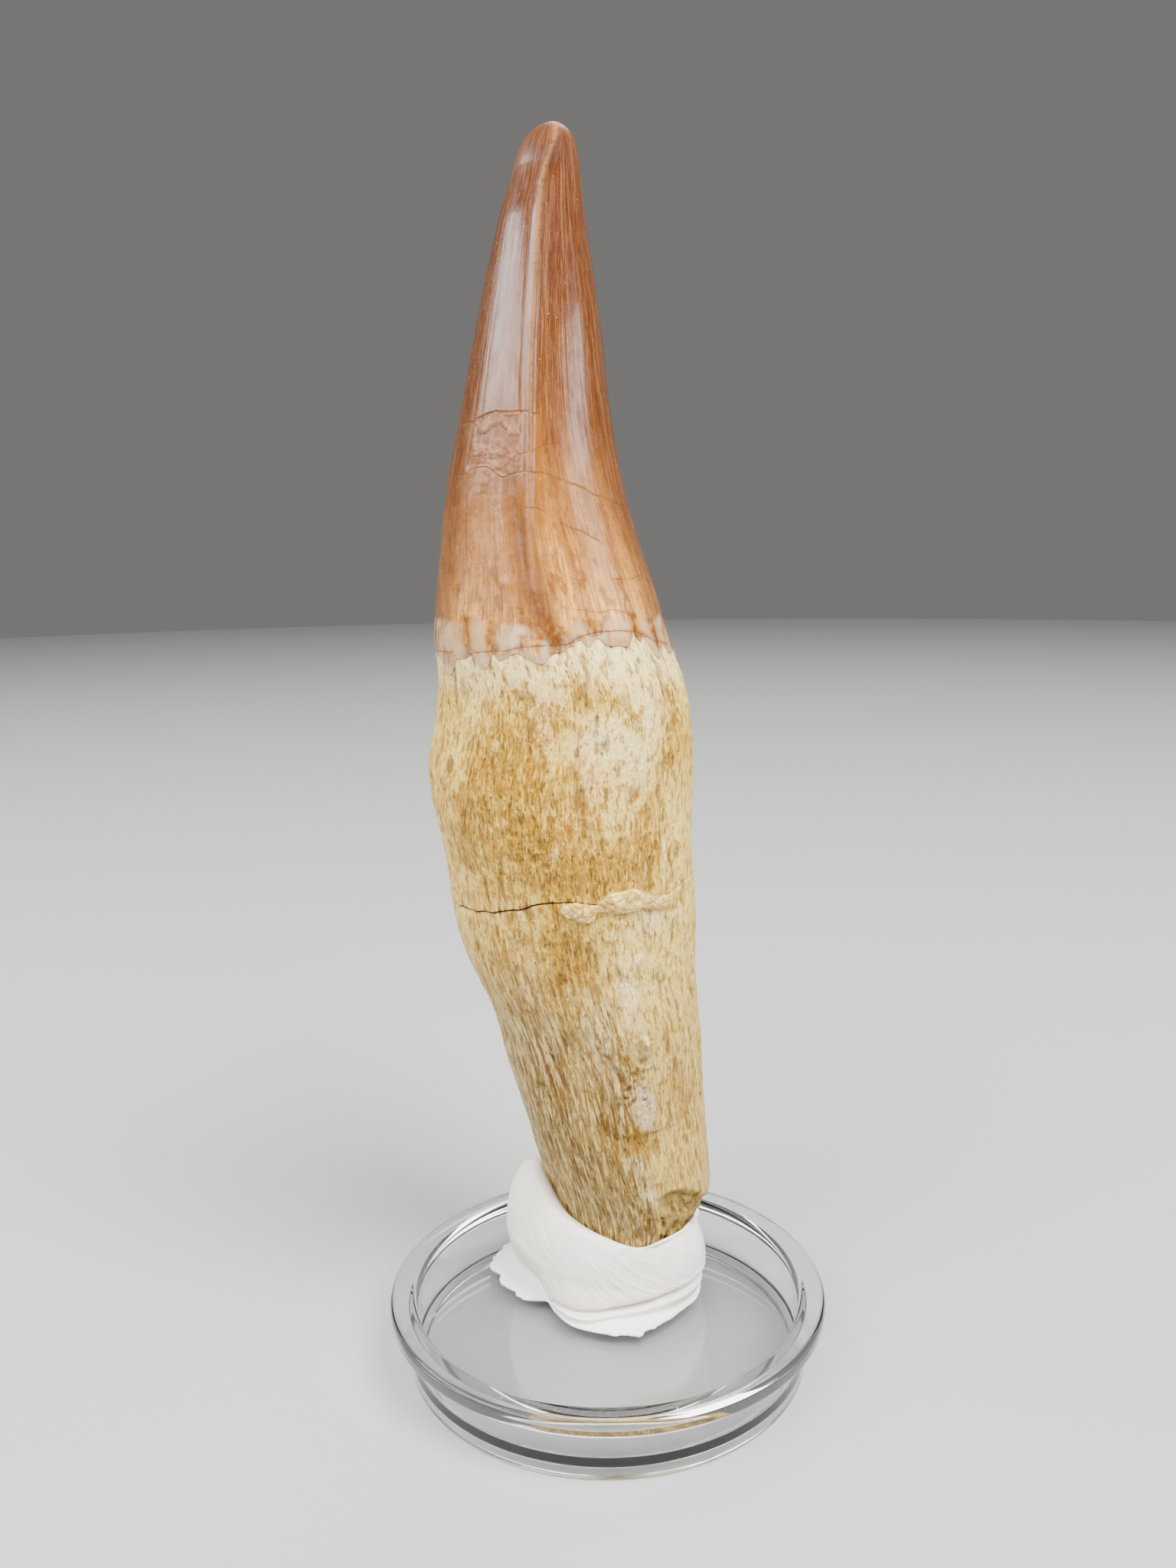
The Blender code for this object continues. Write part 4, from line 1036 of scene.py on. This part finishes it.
def makePutty():
    # columns of guide points from under the skirt, over lump and lip, down beside the root, joined by a curve
    columns = putty["columns"]
    angle = turnFrom(360 * np.arange(columns) / columns, 0)
    skirt, foot, lump, lip = np.moveaxis(curveThrough(putty["profile"], angle), -1, 0)
    grain = grainAt(0 * angle, angle, 10.0)
    torn = 1.2 * noiseAt(grain * 0.8, 141, 2) + 0.7 * noiseAt(grain * 2.6, 142, 3)
    edge = skirt + putty["raggedness"] * torn * (0.2 + smoothStep(skirt - foot, 0.3, 2.0))
    edge = np.maximum(edge, foot + 0.12)
    base, thick = putty["base"], putty["skirtThickness"]
    bulge = 3.0 + 0.4 * (lip - 3.0)
    fold = span(angle, -30, 72, 22)
    creaseRise = 1.2 + 1.3 * span(angle, -125, -58, 14) + 1.1 * smoothStep(angle, -30, 55) * fold
    guides = [
        puttyPoint(edge - 0.5, angle, base + 0 * angle),
        puttyPoint(edge - 0.06, angle, base + 0.05 + 0 * angle),
        puttyPoint(edge, angle, base + 0.45 * thick),
        puttyPoint(edge - 0.2, angle, base + 0.85 * thick),
        puttyPoint(np.maximum(np.minimum(edge - 0.55, foot + 0.5), foot + 0.02), angle, base + thick + 0.02),
        puttyPoint(foot, angle, base + thick + 0.25),
        puttyPoint(mixed(foot, lump, 0.3) + 0.25 * fold, angle, base + 0.62 * creaseRise + 0.25),
        puttyPoint(mixed(foot, lump, 0.5) - putty["foldDepth"] * fold, angle, base + creaseRise),
        puttyPoint(mixed(foot, lump, 0.72) + 0.1 * fold, angle, base + creaseRise + 0.5),
    ]
    depth = breakDepth(lip, angle)
    chipped = 0.8 * np.mean([np.roll(depth, shift) for shift in range(-10, 11)], axis=0)
    # the lip is thinner where the lump leaves little room beside the root
    beside = toothPoint(lip, angle, 0 * lip)[..., :2] / mm - putty["centre"]
    room = np.maximum(lump - np.linalg.norm(beside, axis=-1), 0.7)
    crest = toothPoint(lip, angle, np.minimum(putty["lipThickness"], 0.8 * room) - chipped)
    bulgePoint = puttyPoint(lump, angle, bulge)
    crestHeight = (lip + putty["lipRoll"]) * mm
    for step in (0.97, 0.85, 0.68, 0.5, 0.33, 0.17, 0.0):
        quarter = np.pi / 2 * step
        point = crest + (bulgePoint - crest) * np.sin(quarter)
        point[..., 2] = bulge * mm + (crestHeight - bulge * mm) * np.cos(quarter)
        guides.append(point)
    for drop, out in ((-0.52, 0.8), (-0.4, 0.42), (-0.12, 0.12), (0.3, -0.06), (1.2, -0.3)):
        guides.append(toothPoint(lip - drop, angle, out - chipped))
    guides = np.array(guides)
    spacing = np.linalg.norm(np.diff(guides, axis=0), axis=-1).mean(1)
    knots = np.concatenate([[0], np.cumsum(spacing)])
    stops = np.linspace(0, knots[-1], putty["rows"])
    flat = np.concatenate([knots[:, None], guides.reshape(len(knots), -1)], 1)
    rings = curveThrough(flat, stops).reshape(len(stops), columns, 3)

    # relief along the surface's normal: soft dents, then finger streaks that slant down to the right
    along = np.gradient(rings, axis=0)
    across = np.roll(rings, -1, axis=1) - np.roll(rings, 1, axis=1)
    normal = np.cross(across, along)
    normal = normal / np.maximum(np.linalg.norm(normal, axis=-1, keepdims=True), 1e-12)
    place = rings / mm
    travel = (stops / mm)[:, None] + 0 * angle
    roundWay = np.radians(angle) * 9.0 + 0 * travel
    slant = math.radians(putty["streakSlant"])
    over = roundWay * math.sin(slant) + travel * math.cos(slant) + 0.5 * noiseAt(place * 0.35, 151, 2)
    alongStreak = roundWay * math.cos(slant) - travel * math.sin(slant)
    lane = np.stack([over * 3.4, alongStreak * 0.3, 0 * over], -1)
    finger = noiseAt(lane, 153, 2) * smoothStep(noiseAt(place * 0.3, 155, 2), -0.5, 0.3)
    body = span(travel, knots[5] / mm, knots[-5] / mm, 0.5)
    dents = 0.14 * noiseAt(place * 0.28, 157, 2) + 0.04 * noiseAt(place * 0.9, 159, 2)
    skirtRough = 0.05 * noiseAt(place * 2.2, 161, 2) * span(travel, knots[2] / mm, knots[5] / mm, 0.3)
    relief = body * (dents + putty["streakHeight"] * finger) + skirtRough
    relief = relief * smoothStep(travel, 0.4, 1.2)
    relief = relief * (1 - smoothStep(travel, knots[-3] / mm, knots[-1] / mm))
    rings = rings + normal * relief[..., None] * mm
    rings[..., 2] = np.maximum(rings[..., 2], base * mm)
    masks = {
        "skirtMask": 1 - smoothStep(travel, knots[4] / mm, knots[6] / mm),
        # painted shade along the fold's crease
        "creaseShadeMask": bell(travel, knots[7] / mm, 0.35) * (0.3 + 0.7 * fold),
        # painted shade where the putty turns down against the root
        "lipMask": smoothStep(travel, knots[-5] / mm, knots[-3] / mm),
    }
    under = np.array([putty["centre"][0] * mm, putty["centre"][1] * mm, base * mm])
    grain = np.stack([over, alongStreak, travel], -1)
    return ringMesh("putty_mount", rings, under, rings[-1].mean(0), masks, grain)


# Dish: turned from clear plastic, with a flange round its rim and a foot ring

dish = {
    "columns": 256, "radius": 20.0, "height": 6.5, "flangeUnderside": 5.1, "wallOuter": 18.25,
    "wallInner": 17.5, "floorTop": 1.7, "floorUnderside": 0.7, "footWidth": 1.3, "edge": 0.35,
    "rimEdge": 0.6, "fillet": 0.15, "arcSteps": 7,
}


def arc(centreRadius, centreHeight, radius, first, last):
    # points of a quarter of a circle, from a first to a last angle
    turn = np.radians(np.linspace(first, last, dish["arcSteps"]))
    return np.stack([centreRadius + radius * np.cos(turn), centreHeight + radius * np.sin(turn)], -1)


def makeDish():
    # the section, from the middle of the underside round the outside to the middle of the floor, turned
    radius, height = dish["radius"], dish["height"]
    edge, rim, fillet = dish["edge"], dish["rimEdge"], dish["fillet"]
    outer, inner, under = dish["wallOuter"], dish["wallInner"], dish["floorUnderside"]
    footInner = outer - dish["footWidth"]
    flange = dish["flangeUnderside"]
    floorSteps = np.linspace(0.5, footInner - 0.6, 12)
    topSteps = np.linspace(inner - 1.0, 0.5, 12)
    section = np.concatenate([
        np.stack([floorSteps, np.full(12, under)], -1),
        arc(footInner - fillet, under - fillet, fillet, 90, 0),
        arc(footInner + fillet, fillet, fillet, 180, 270),
        arc(outer - edge, edge, edge, -90, 0),
        arc(outer + fillet, flange - fillet, fillet, 180, 90),
        arc(radius - edge, flange + edge, edge, -90, 0),
        arc(radius - rim, height - rim, rim, 0, 90),
        arc(inner + rim, height - rim, rim, 90, 180),
        arc(inner - edge, dish["floorTop"] + edge, edge, 0, -90),
        np.stack([topSteps, np.full(12, dish["floorTop"])], -1),
    ]) * mm
    turn = 2 * np.pi * np.arange(dish["columns"]) / dish["columns"]
    rings = np.stack([
        section[:, :1] * np.sin(turn), -section[:, :1] * np.cos(turn), section[:, 1:] + 0 * turn,
    ], -1)
    return ringMesh("display_dish_clear", rings, (0, 0, under * mm), (0, 0, dish["floorTop"] * mm), sharp=50)


# Materials

enamelLook = {
    "ramp": [
        (0.0, (0.90, 0.43, 0.11)), (0.18, (0.47, 0.19, 0.03)), (0.4, (0.15, 0.043, 0.004)),
        (0.7, (0.085, 0.023, 0.007)), (0.93, (0.065, 0.016, 0.006)), (1.0, (0.085, 0.020, 0.002)),
    ],
    # honey also paints the shade on the crown's flanks
    "honey": (0.10, 0.027, 0.002), "deepHoney": (0.065, 0.017, 0.001), "pale": (0.33, 0.145, 0.055),
    "mauve": (0.065, 0.022, 0.014), "carina": (0.30, 0.125, 0.045), "band": (0.46, 0.30, 0.15),
    "milky": (0.58, 0.42, 0.26), "drip": (0.15, 0.040, 0.001), "crack": (0.075, 0.027, 0.008),
    # furrow is painted shade for the groove beside the front edge
    "peel": (0.30, 0.14, 0.075), "peelLow": (0.17, 0.06, 0.02), "furrow": (0.10, 0.035, 0.010),
    "fringe": (0.30, 0.105, 0.002), "dust": (0.9, 0.86, 0.8), "redLine": (0.17, 0.048, 0.012),
    # hollow is painted shade for the worn hollow at the tip
    "honeyLine": (0.26, 0.08, 0.004), "rust": (0.12, 0.036, 0.003), "hollow": (0.09, 0.022, 0.002),
    "gloss": {"IOR": 1.55, "Coat Weight": 0.2, "Coat Roughness": 0.06},
    "bumpDistance": 0.00006, "bumpStrength": 0.55,
}


def makeEnamel():
    paint = Finish("polishedEnamel", enamelLook)
    share = paint.mask("heightShare")
    lowShare = paint.ranged(share, 0.55, 0.1)
    cloud = paint.clouded(0.22, 3.0, output="Value")
    uneven = paint.times(paint.maths("SUBTRACT", cloud, 0.5), 0.35)
    paint.colour = colourRamp(paint.tree, paint.add(share, uneven), enamelLook["ramp"])

    # painted shade on both flanks in honey brown, the colour of the broad lanes; lengthwise lanes and fine
    # lines, and the deposit low on the crown
    flankShade = paint.times(paint.mask("flankShadeMask"), 0.7)
    broad = paint.scaled(paint.streaked(0.6, 0.05, 0.45, 0.65), 0.3)
    paint.layer(paint.maths("MAXIMUM", flankShade, broad), "honey")
    paint.layer(paint.streaked(1.7, 0.09, 0.52, 0.7), "deepHoney", 0.48)
    paint.layer(paint.streaked(2.3, 0.12, 0.52, 0.68), "pale", 0.32)
    fineLines = paint.flecked(8.0, 0.5, 3.0, 0.46, 0.66)
    paint.layer(fineLines, "mauve", 0.48)
    paint.layer(paint.flecked(7.0, 0.6, 3.0, 0.5, 0.68), "pale", 0.4)
    redLines = paint.times(paint.flecked(4.5, 0.28, 4.0, 0.54, 0.64), lowShare)
    paint.layer(redLines, "redLine", 0.6)
    deposit = paint.scaled(paint.flecked(1.5, 0.7, 6.0, 0.54, 0.66), 0.7)
    paint.layer(paint.times(deposit, lowShare), "drip")
    grit = paint.clouded(5.0, 3.0, output="Value")
    paint.colour = paint.shaded(paint.colour, grit, 0.35, 0.65, 0.82, 1.14)

    # painted shade in the furrow, the cutting edges and the peeled patch
    carina, peel = paint.mask("carinaMask"), paint.mask("peelMask")
    paint.layer(paint.mask("honeyMask"), "honeyLine", 0.6)
    # painted shade in the furrow beside the front edge
    paint.layer(paint.mask("furrowShadeMask"), "furrow", 0.7)
    paint.layer(paint.times(carina, paint.ranged(cloud, 0.35, 0.6, 0.45, 0.8)), "carina")
    peelColour = paint.blend(paint.ranged(paint.mask("peelTone"), 0.3, 0.8), "peelLow", "peel")
    paint.layer(peel, peelColour, 0.7)

    # milky band over the root: thin enamel with a frayed top, stained where the orange has run down
    fray = paint.streaked(1.3, 0.5, detail=5.0, output="Value")
    band = paint.times(paint.mask("bandMask"), paint.ranged(fray, 0.34, 0.5))
    paint.layer(band, paint.blend(paint.ranged(cloud, 0.4, 0.6), "band", "milky"), 0.92)
    dripGrain = paint.flecked(3.0, 2.0, 5.0, 0.38, 0.54)
    fringe = paint.times(paint.mask("fringeMask"), dripGrain, clamp=True)
    paint.layer(fringe, "fringe", 0.8)
    drip = paint.times(paint.mask("dripMask"), paint.run(dripGrain, 0.6, 1.0))
    dripColour = paint.blend(paint.flecked(2.0, 1.0, 4.0, 0.44, 0.58), "drip", "fringe")
    paint.layer(drip, dripColour, 0.95)
    rust = paint.times(paint.mask("rustMask"), paint.run(dripGrain, 0.45, 1.0))
    paint.layer(rust, "rust", 0.9)
    # painted shade in the worn hollow beside the tip's crest
    paint.layer(paint.mask("hollowShadeMask"), "hollow", 0.9)
    crack = paint.mask("crackMask")
    paint.layer(crack, "crack", 0.85)
    paint.layer(paint.times(paint.specked(1.7, 0.1, 0.12), 0.7), "dust")

    # gloss: polished, dulled along the fine lines, in the peeled patch and in the cracks
    dull = paint.clouded(0.55, 6.0, 0.44, 0.6)
    rough = paint.add(paint.run(fineLines, 0.1, 0.16), paint.scaled(dull, 0.18))
    tip = paint.ranged(share, 0.84, 0.92)
    for mask, dullness in ((peel, 0.35), (carina, 0.25), (tip, 0.25), (lowShare, 0.12), (crack, 0.4)):
        rough = paint.add(rough, paint.times(mask, dullness), clamp=True)
    finest = paint.streaked(5.0, 0.12, detail=3.0, output="Value")
    cross = paint.clouded(3.0, 4.0, output="Value")
    relief = paint.add(paint.times(finest, 0.45), paint.times(cross, 0.3))
    relief = paint.add(relief, paint.times(paint.times(peel, cross), 1.2))
    return paint.finished(rough, relief)


boneLook = {
    "cream": (0.64, 0.39, 0.055), "paleCream": (0.84, 0.60, 0.15), "white": (0.98, 0.84, 0.46),
    "grey": (0.26, 0.19, 0.072), "softOchre": (0.58, 0.34, 0.014), "gold": (0.41, 0.205, 0.005),
    "deepGold": (0.26, 0.104, 0.003), "brown": (0.14, 0.052, 0.003), "olive": (0.08, 0.046, 0.005),
    "pore": (0.10, 0.045, 0.007), "pink": (0.82, 0.47, 0.24), "orange": (0.33, 0.10, 0.001),
    "crust": (0.66, 0.53, 0.29), "crustDark": (0.14, 0.08, 0.024), "groove": (0.17, 0.074, 0.004),
    # the darkest brown, under the ledges, is painted shadow
    "ledgeStainAndShadow": (0.07, 0.026, 0.002), "fracture": (0.42, 0.29, 0.09), "fractureDark": (0.20, 0.115, 0.024),
    "crack": (0.09, 0.042, 0.013), "redPore": (0.30, 0.10, 0.035), "umber": (0.19, 0.115, 0.018),
    "fibre": (0.80, 0.64, 0.31), "dust": (0.92, 0.9, 0.85),
    "gloss": {"IOR": 1.5, "Specular IOR Level": 0.3},
    "bumpDistance": 0.0001, "bumpStrength": 0.75,
}


def makeBone():
    paint = Finish("porousBone", boneLook)
    lower, white, ochre, pink = (paint.mask(kind + "Mask") for kind in ("grey", "white", "ochre", "pink"))
    paint.colour = paint.blend(paint.clouded(0.3, 5.0, 0.4, 0.62), "cream", "paleCream")
    paint.layer(lower, "grey")
    paint.layer(paint.mask("paleMask"), "paleCream")
    paint.layer(white, "white", 0.85)
    paint.layer(pink, "pink", 0.6)
    paint.layer(ochre, "softOchre", 0.75)

    # flecks of gold, orange, brown and olive, thick where the stain is, and longer down the root
    stained = paint.maths("SUBTRACT", paint.scaled(ochre, 0.15), paint.scaled(white, 0.035))
    goldHigh = paint.flecked(2.6, 1.0, 8.0, 0.5, 0.61, stained)
    goldLow = paint.flecked(2.1, 0.3, 8.0, 0.48, 0.56, stained)
    goldTone = paint.clouded(1.6, 4.0, 0.4, 0.6)
    gold = paint.blend(goldTone, "gold", "deepGold")
    gold = paint.blend(paint.scaled(lower, 0.6), gold, "umber")
    paint.layer(paint.between(lower, goldHigh, goldLow), gold, 0.78)
    granular = paint.streaked(9.0, 3.0, detail=3.0, output="Value")
    paint.colour = paint.shaded(paint.colour, granular, 0.34, 0.66, 0.66, 1.16)
    orangeGrain = paint.run(paint.streaked(2.6, 1.0, 0.4, 0.56, 4.0), 0.45, 1.0)
    orangeClouds = paint.scaled(paint.clouded(0.7, 6.0, 0.57, 0.7), 0.35)
    orange = paint.maths("MAXIMUM", paint.times(paint.mask("orangeMask"), orangeGrain), orangeClouds)
    paint.layer(orange, "orange", 0.85)
    whiteFibre = paint.flecked(5.5, 0.8, 4.0, 0.5, 0.62, paint.times(ochre, -0.05))
    paint.layer(paint.times(whiteFibre, paint.run(ochre, 0.65, 0.35)), "paleCream")
    longFibre = paint.times(paint.flecked(3.4, 0.24, 5.0, 0.53, 0.62), lower)
    paint.layer(longFibre, "fibre", 0.62)
    leaning = paint.scaled(paint.maths("MAXIMUM", ochre, pink), 0.06)
    crowded = paint.run(paint.clouded(0.45, 4.0, 0.42, 0.6), 0.25, 1.0)
    brownHigh = paint.times(paint.flecked(7.0, 2.2, 4.0, 0.58, 0.7, leaning), crowded)
    brownLow = paint.flecked(3.8, 0.5, 6.0, 0.53, 0.61, leaning)
    brown = paint.between(lower, brownHigh, brownLow)
    reddened = paint.maths("MAXIMUM", pink, paint.scaled(white, 0.4))
    paint.layer(brown, paint.blend(reddened, "brown", "redPore"), 0.85)
    oliveLean = paint.scaled(paint.maths("MAXIMUM", ochre, lower), 0.065)
    olive = paint.flecked(6.2, 1.4, 4.0, 0.63, 0.72, oliveLean)
    paint.layer(olive, "olive", 0.85)
    pores = paint.mask("poreMask")
    paint.layer(pores, "pore", 0.6)
    paint.layer(paint.mask("grooveMask"), "groove", 0.75)
    paint.layer(paint.times(paint.mask("chalkMask"), paint.ranged(granular, 0.4, 0.6, 0.2, 0.8)), "white")

    # crust, painted shadow with gold-brown stain under its ledge and under the broken corner's top edge, the
    # broken corner and the old break
    crustTone = paint.blend(paint.mask("crustTone"), "crustDark", "crust")
    crustTone = paint.shaded(crustTone, granular, 0.36, 0.6, 0.6, 1.1)
    paint.layer(paint.times(paint.mask("crustMask"), paint.clouded(0.5, 5.0, 0.38, 0.5)), crustTone)
    ledgeStainAndShadow = paint.times(paint.mask("ledgeStainAndShadowMask"), paint.run(goldTone, 0.6, 1.0))
    paint.layer(ledgeStainAndShadow, paint.blend(olive, "gold", "ledgeStainAndShadow"), 0.9)
    paint.layer(paint.mask("fractureMask"), paint.blend(goldTone, "fracture", "fractureDark"), 0.7)
    # the crack colour also paints shade in a thin band just under the enamel's edge
    paint.layer(paint.mask("crackMask"), "crack", 1.1)
    paint.layer(paint.times(paint.specked(1.1, 0.09, 0.15), 0.6), "dust")

    rough = paint.add(paint.run(whiteFibre, 0.5, 0.38), paint.times(pores, 0.25), clamp=True)
    fibres = paint.streaked(4.0, 0.5, detail=3.0, output="Value")
    dips = paint.times(paint.maths("MAXIMUM", brown, olive), -0.5)
    grit = paint.clouded(4.0, 4.0, output="Value")
    relief = paint.add(paint.add(fibres, dips), paint.times(grit, 0.7))
    return paint.finished(rough, relief)


fillerLook = {
    "dust": (0.84, 0.64, 0.21), "glue": (0.56, 0.35, 0.075), "rust": (0.36, 0.14, 0.012),
    "shade": (0.30, 0.17, 0.06), "roughness": 0.55, "bumpDistance": 0.00018, "bumpStrength": 0.7,
}


def makeFillerLook():
    paint = Finish("glueAndBoneDust", fillerLook)
    paint.colour = paint.blend(paint.clouded(0.9, 5.0, 0.4, 0.62), "dust", "glue")
    paint.layer(paint.clouded(1.6, 6.0, 0.55, 0.68), "rust", 0.7)
    paint.layer(paint.mask("shadeMask"), "shade", 0.75)
    return paint.finished(fillerLook["roughness"], paint.clouded(3.2, 5.0, output="Value"))


puttyLook = {
    "ivory": (0.90, 0.85, 0.765), "buff": (0.84, 0.78, 0.68), "finger": (0.78, 0.72, 0.64),
    # painted shade: the crease colour in the fold's crease, the lip colour where the putty turns down against
    # the root
    "creaseShade": (0.60, 0.52, 0.44), "skirt": (0.86, 0.87, 0.88), "lip": (0.55, 0.47, 0.34),
    "laneScale": (5.0, 0.5, 0.0), "roughness": 0.62, "bumpDistance": 0.00007, "bumpStrength": 0.35,
}


def makePuttyLook():
    paint = Finish("softPutty", puttyLook, onPlace=True)
    grain = paint.mask("grain", "Vector")
    lanes = put(paint.tree, "Mapping", {"Vector": grain, "Scale": puttyLook["laneScale"]})
    finger = put(paint.tree, "TexNoise", {"Vector": lanes, "Scale": 1.0, "Detail": 3.0})
    paint.colour = paint.blend(paint.clouded(0.16, 3.0, 0.35, 0.65), "ivory", "buff")
    paint.layer(paint.ranged(finger, 0.55, 0.75, 0.0, 0.35), "finger")
    # painted shade in the fold's crease and where the putty turns down against the root; the skirt is whiter
    for area, strength in (("creaseShade", 0.4), ("skirt", 0.6), ("lip", 0.5)):
        paint.layer(paint.mask(area + "Mask"), area, strength)
    grit = paint.clouded(2.4, 4.0, output="Value")
    return paint.finished(puttyLook["roughness"], paint.add(finger, paint.times(grit, 0.5)))


plasticLook = {"Base Color": (0.965, 0.98, 1.0, 1), "Transmission Weight": 1.0, "IOR": 1.49}


def makeClearPlastic():
    # clear, with a faint haze and a few specks of dust in its gloss
    paint = Finish("clearPlastic", plasticLook, onPlace=True)
    haze = paint.clouded(0.35, 5.0, output="Value")
    specksOfDust = paint.times(paint.specked(0.9, 0.08, 0.2), 0.4)
    rough = paint.add(paint.ranged(haze, 0.4, 0.75, 0.02, 0.09), specksOfDust)
    feed(paint.tree, paint.shader, {**plasticLook, "Roughness": rough})
    return paint.material


# Build the pieces

print("building the tooth")
enamel, bone = makeEnamel(), makeBone()
settle(makeCrown(), enamel, "fossil", "tooth")
settle(makeBeads("front_serrations", crown["frontEdge"]), enamel, "fossil", "tooth")
settle(makeBeads("back_serrations", [(60, 180), (108, 180)]), enamel, "fossil", "tooth")
settle(makeUpperRoot(), bone, "fossil", "tooth")
settle(makeLowerRoot(), bone, "fossil", "tooth")
settle(makeFiller(), makeFillerLook(), "fossil", "tooth")
print("building putty and dish")
settle(makePutty(), makePuttyLook(), "putty", "putty")
settle(makeDish(), makeClearPlastic(), "clear_plastic", "display_dish")


# Studio: pale floor, soft lights and the camera at the photograph's viewing angle

studio = {
    "floorRadius": 1.0, "floorCorners": 256, "floorHeight": -0.00002, "floorRoughness": 0.75,
    "floorColour": (0.4, 0.4, 0.398), "air": (0.185, 0.183, 0.178),
    "aim": (-0.004, 0.003, 0.08),
    # name, azimuth from the front towards the right and height above the aim in degrees, distance,
    # width and height in metres, power in watts, and whether it shows in reflections
    "softboxes": [
        ("keyBox", 42, 50, 0.60, 0.32, 0.32, 12.6, False),
        ("fillBox", -35, 50, 0.60, 0.40, 0.30, 5.2, False),
        ("leftWindow", -70, 34, 0.50, 0.78, 0.20, 3.8, True),
        ("rightWindow", 76, 20, 0.50, 0.20, 0.13, 0.55, True),
        ("backBox", 165, 50, 0.70, 0.36, 0.24, 2.0, True),
    ],
}
camera = {"place": (-1.1, -110.5, 75.0), "pitch": 11.0, "roll": -0.84, "lens": 30.0, "sensor": 36.0}


def makeFloor():
    # a flat disc just under the dish's foot, which ends where its light has faded to the grey behind it
    turn = 2 * np.pi * np.arange(studio["floorCorners"]) / studio["floorCorners"]
    rim = np.stack([np.sin(turn), np.cos(turn), 0 * turn], -1) * studio["floorRadius"]
    rim[:, 2] = studio["floorHeight"]
    mesh = bpy.data.meshes.new("floor")
    mesh.from_pydata(rim.tolist(), [], [tuple(reversed(range(len(turn))))])
    floor = bpy.data.objects.new("floor", mesh)
    bpy.context.scene.collection.objects.link(floor)
    material, tree, shader = newMaterial("paleFloor")
    feed(tree, shader, {"Base Color": (*studio["floorColour"], 1), "Roughness": studio["floorRoughness"]})
    mesh.materials.append(material)


def makeLights():
    for name, azimuth, rise, distance, width, height, power, mirrored in studio["softboxes"]:
        light = bpy.data.lights.new(name, "AREA")
        light.shape = "RECTANGLE"
        light.size, light.size_y = width, height
        light.energy = power
        lamp = bpy.data.objects.new(name, light)
        bpy.context.scene.collection.objects.link(lamp)
        side, up = math.radians(azimuth), math.radians(rise)
        reach = distance * math.cos(up)
        offset = (reach * math.sin(side), -reach * math.cos(side), distance * math.sin(up))
        lamp.location = [start + step for start, step in zip(studio["aim"], offset)]
        lamp.rotation_euler = (math.pi / 2 - up, 0, side)
        lamp.visible_glossy = mirrored
    world = bpy.data.worlds.new("softAir")
    world.use_nodes = True
    world.node_tree.nodes["Background"].inputs["Color"].default_value = (*studio["air"], 1)
    bpy.context.scene.world = world


def makeCamera():
    data = bpy.data.cameras.new("photoCamera")
    data.lens = camera["lens"]
    data.sensor_width = camera["sensor"]
    data.clip_start = 0.005
    data.clip_end = 20
    viewer = bpy.data.objects.new("photoCamera", data)
    bpy.context.scene.collection.objects.link(viewer)
    tilt = Matrix.Rotation(math.radians(90 - camera["pitch"]), 3, "X")
    roll = Matrix.Rotation(math.radians(camera["roll"]), 3, "Z")
    viewer.location = [value * mm for value in camera["place"]]
    viewer.rotation_euler = (tilt @ roll).to_euler()
    bpy.context.scene.camera = viewer


makeFloor()
makeLights()
makeCamera()

print("scene ready")
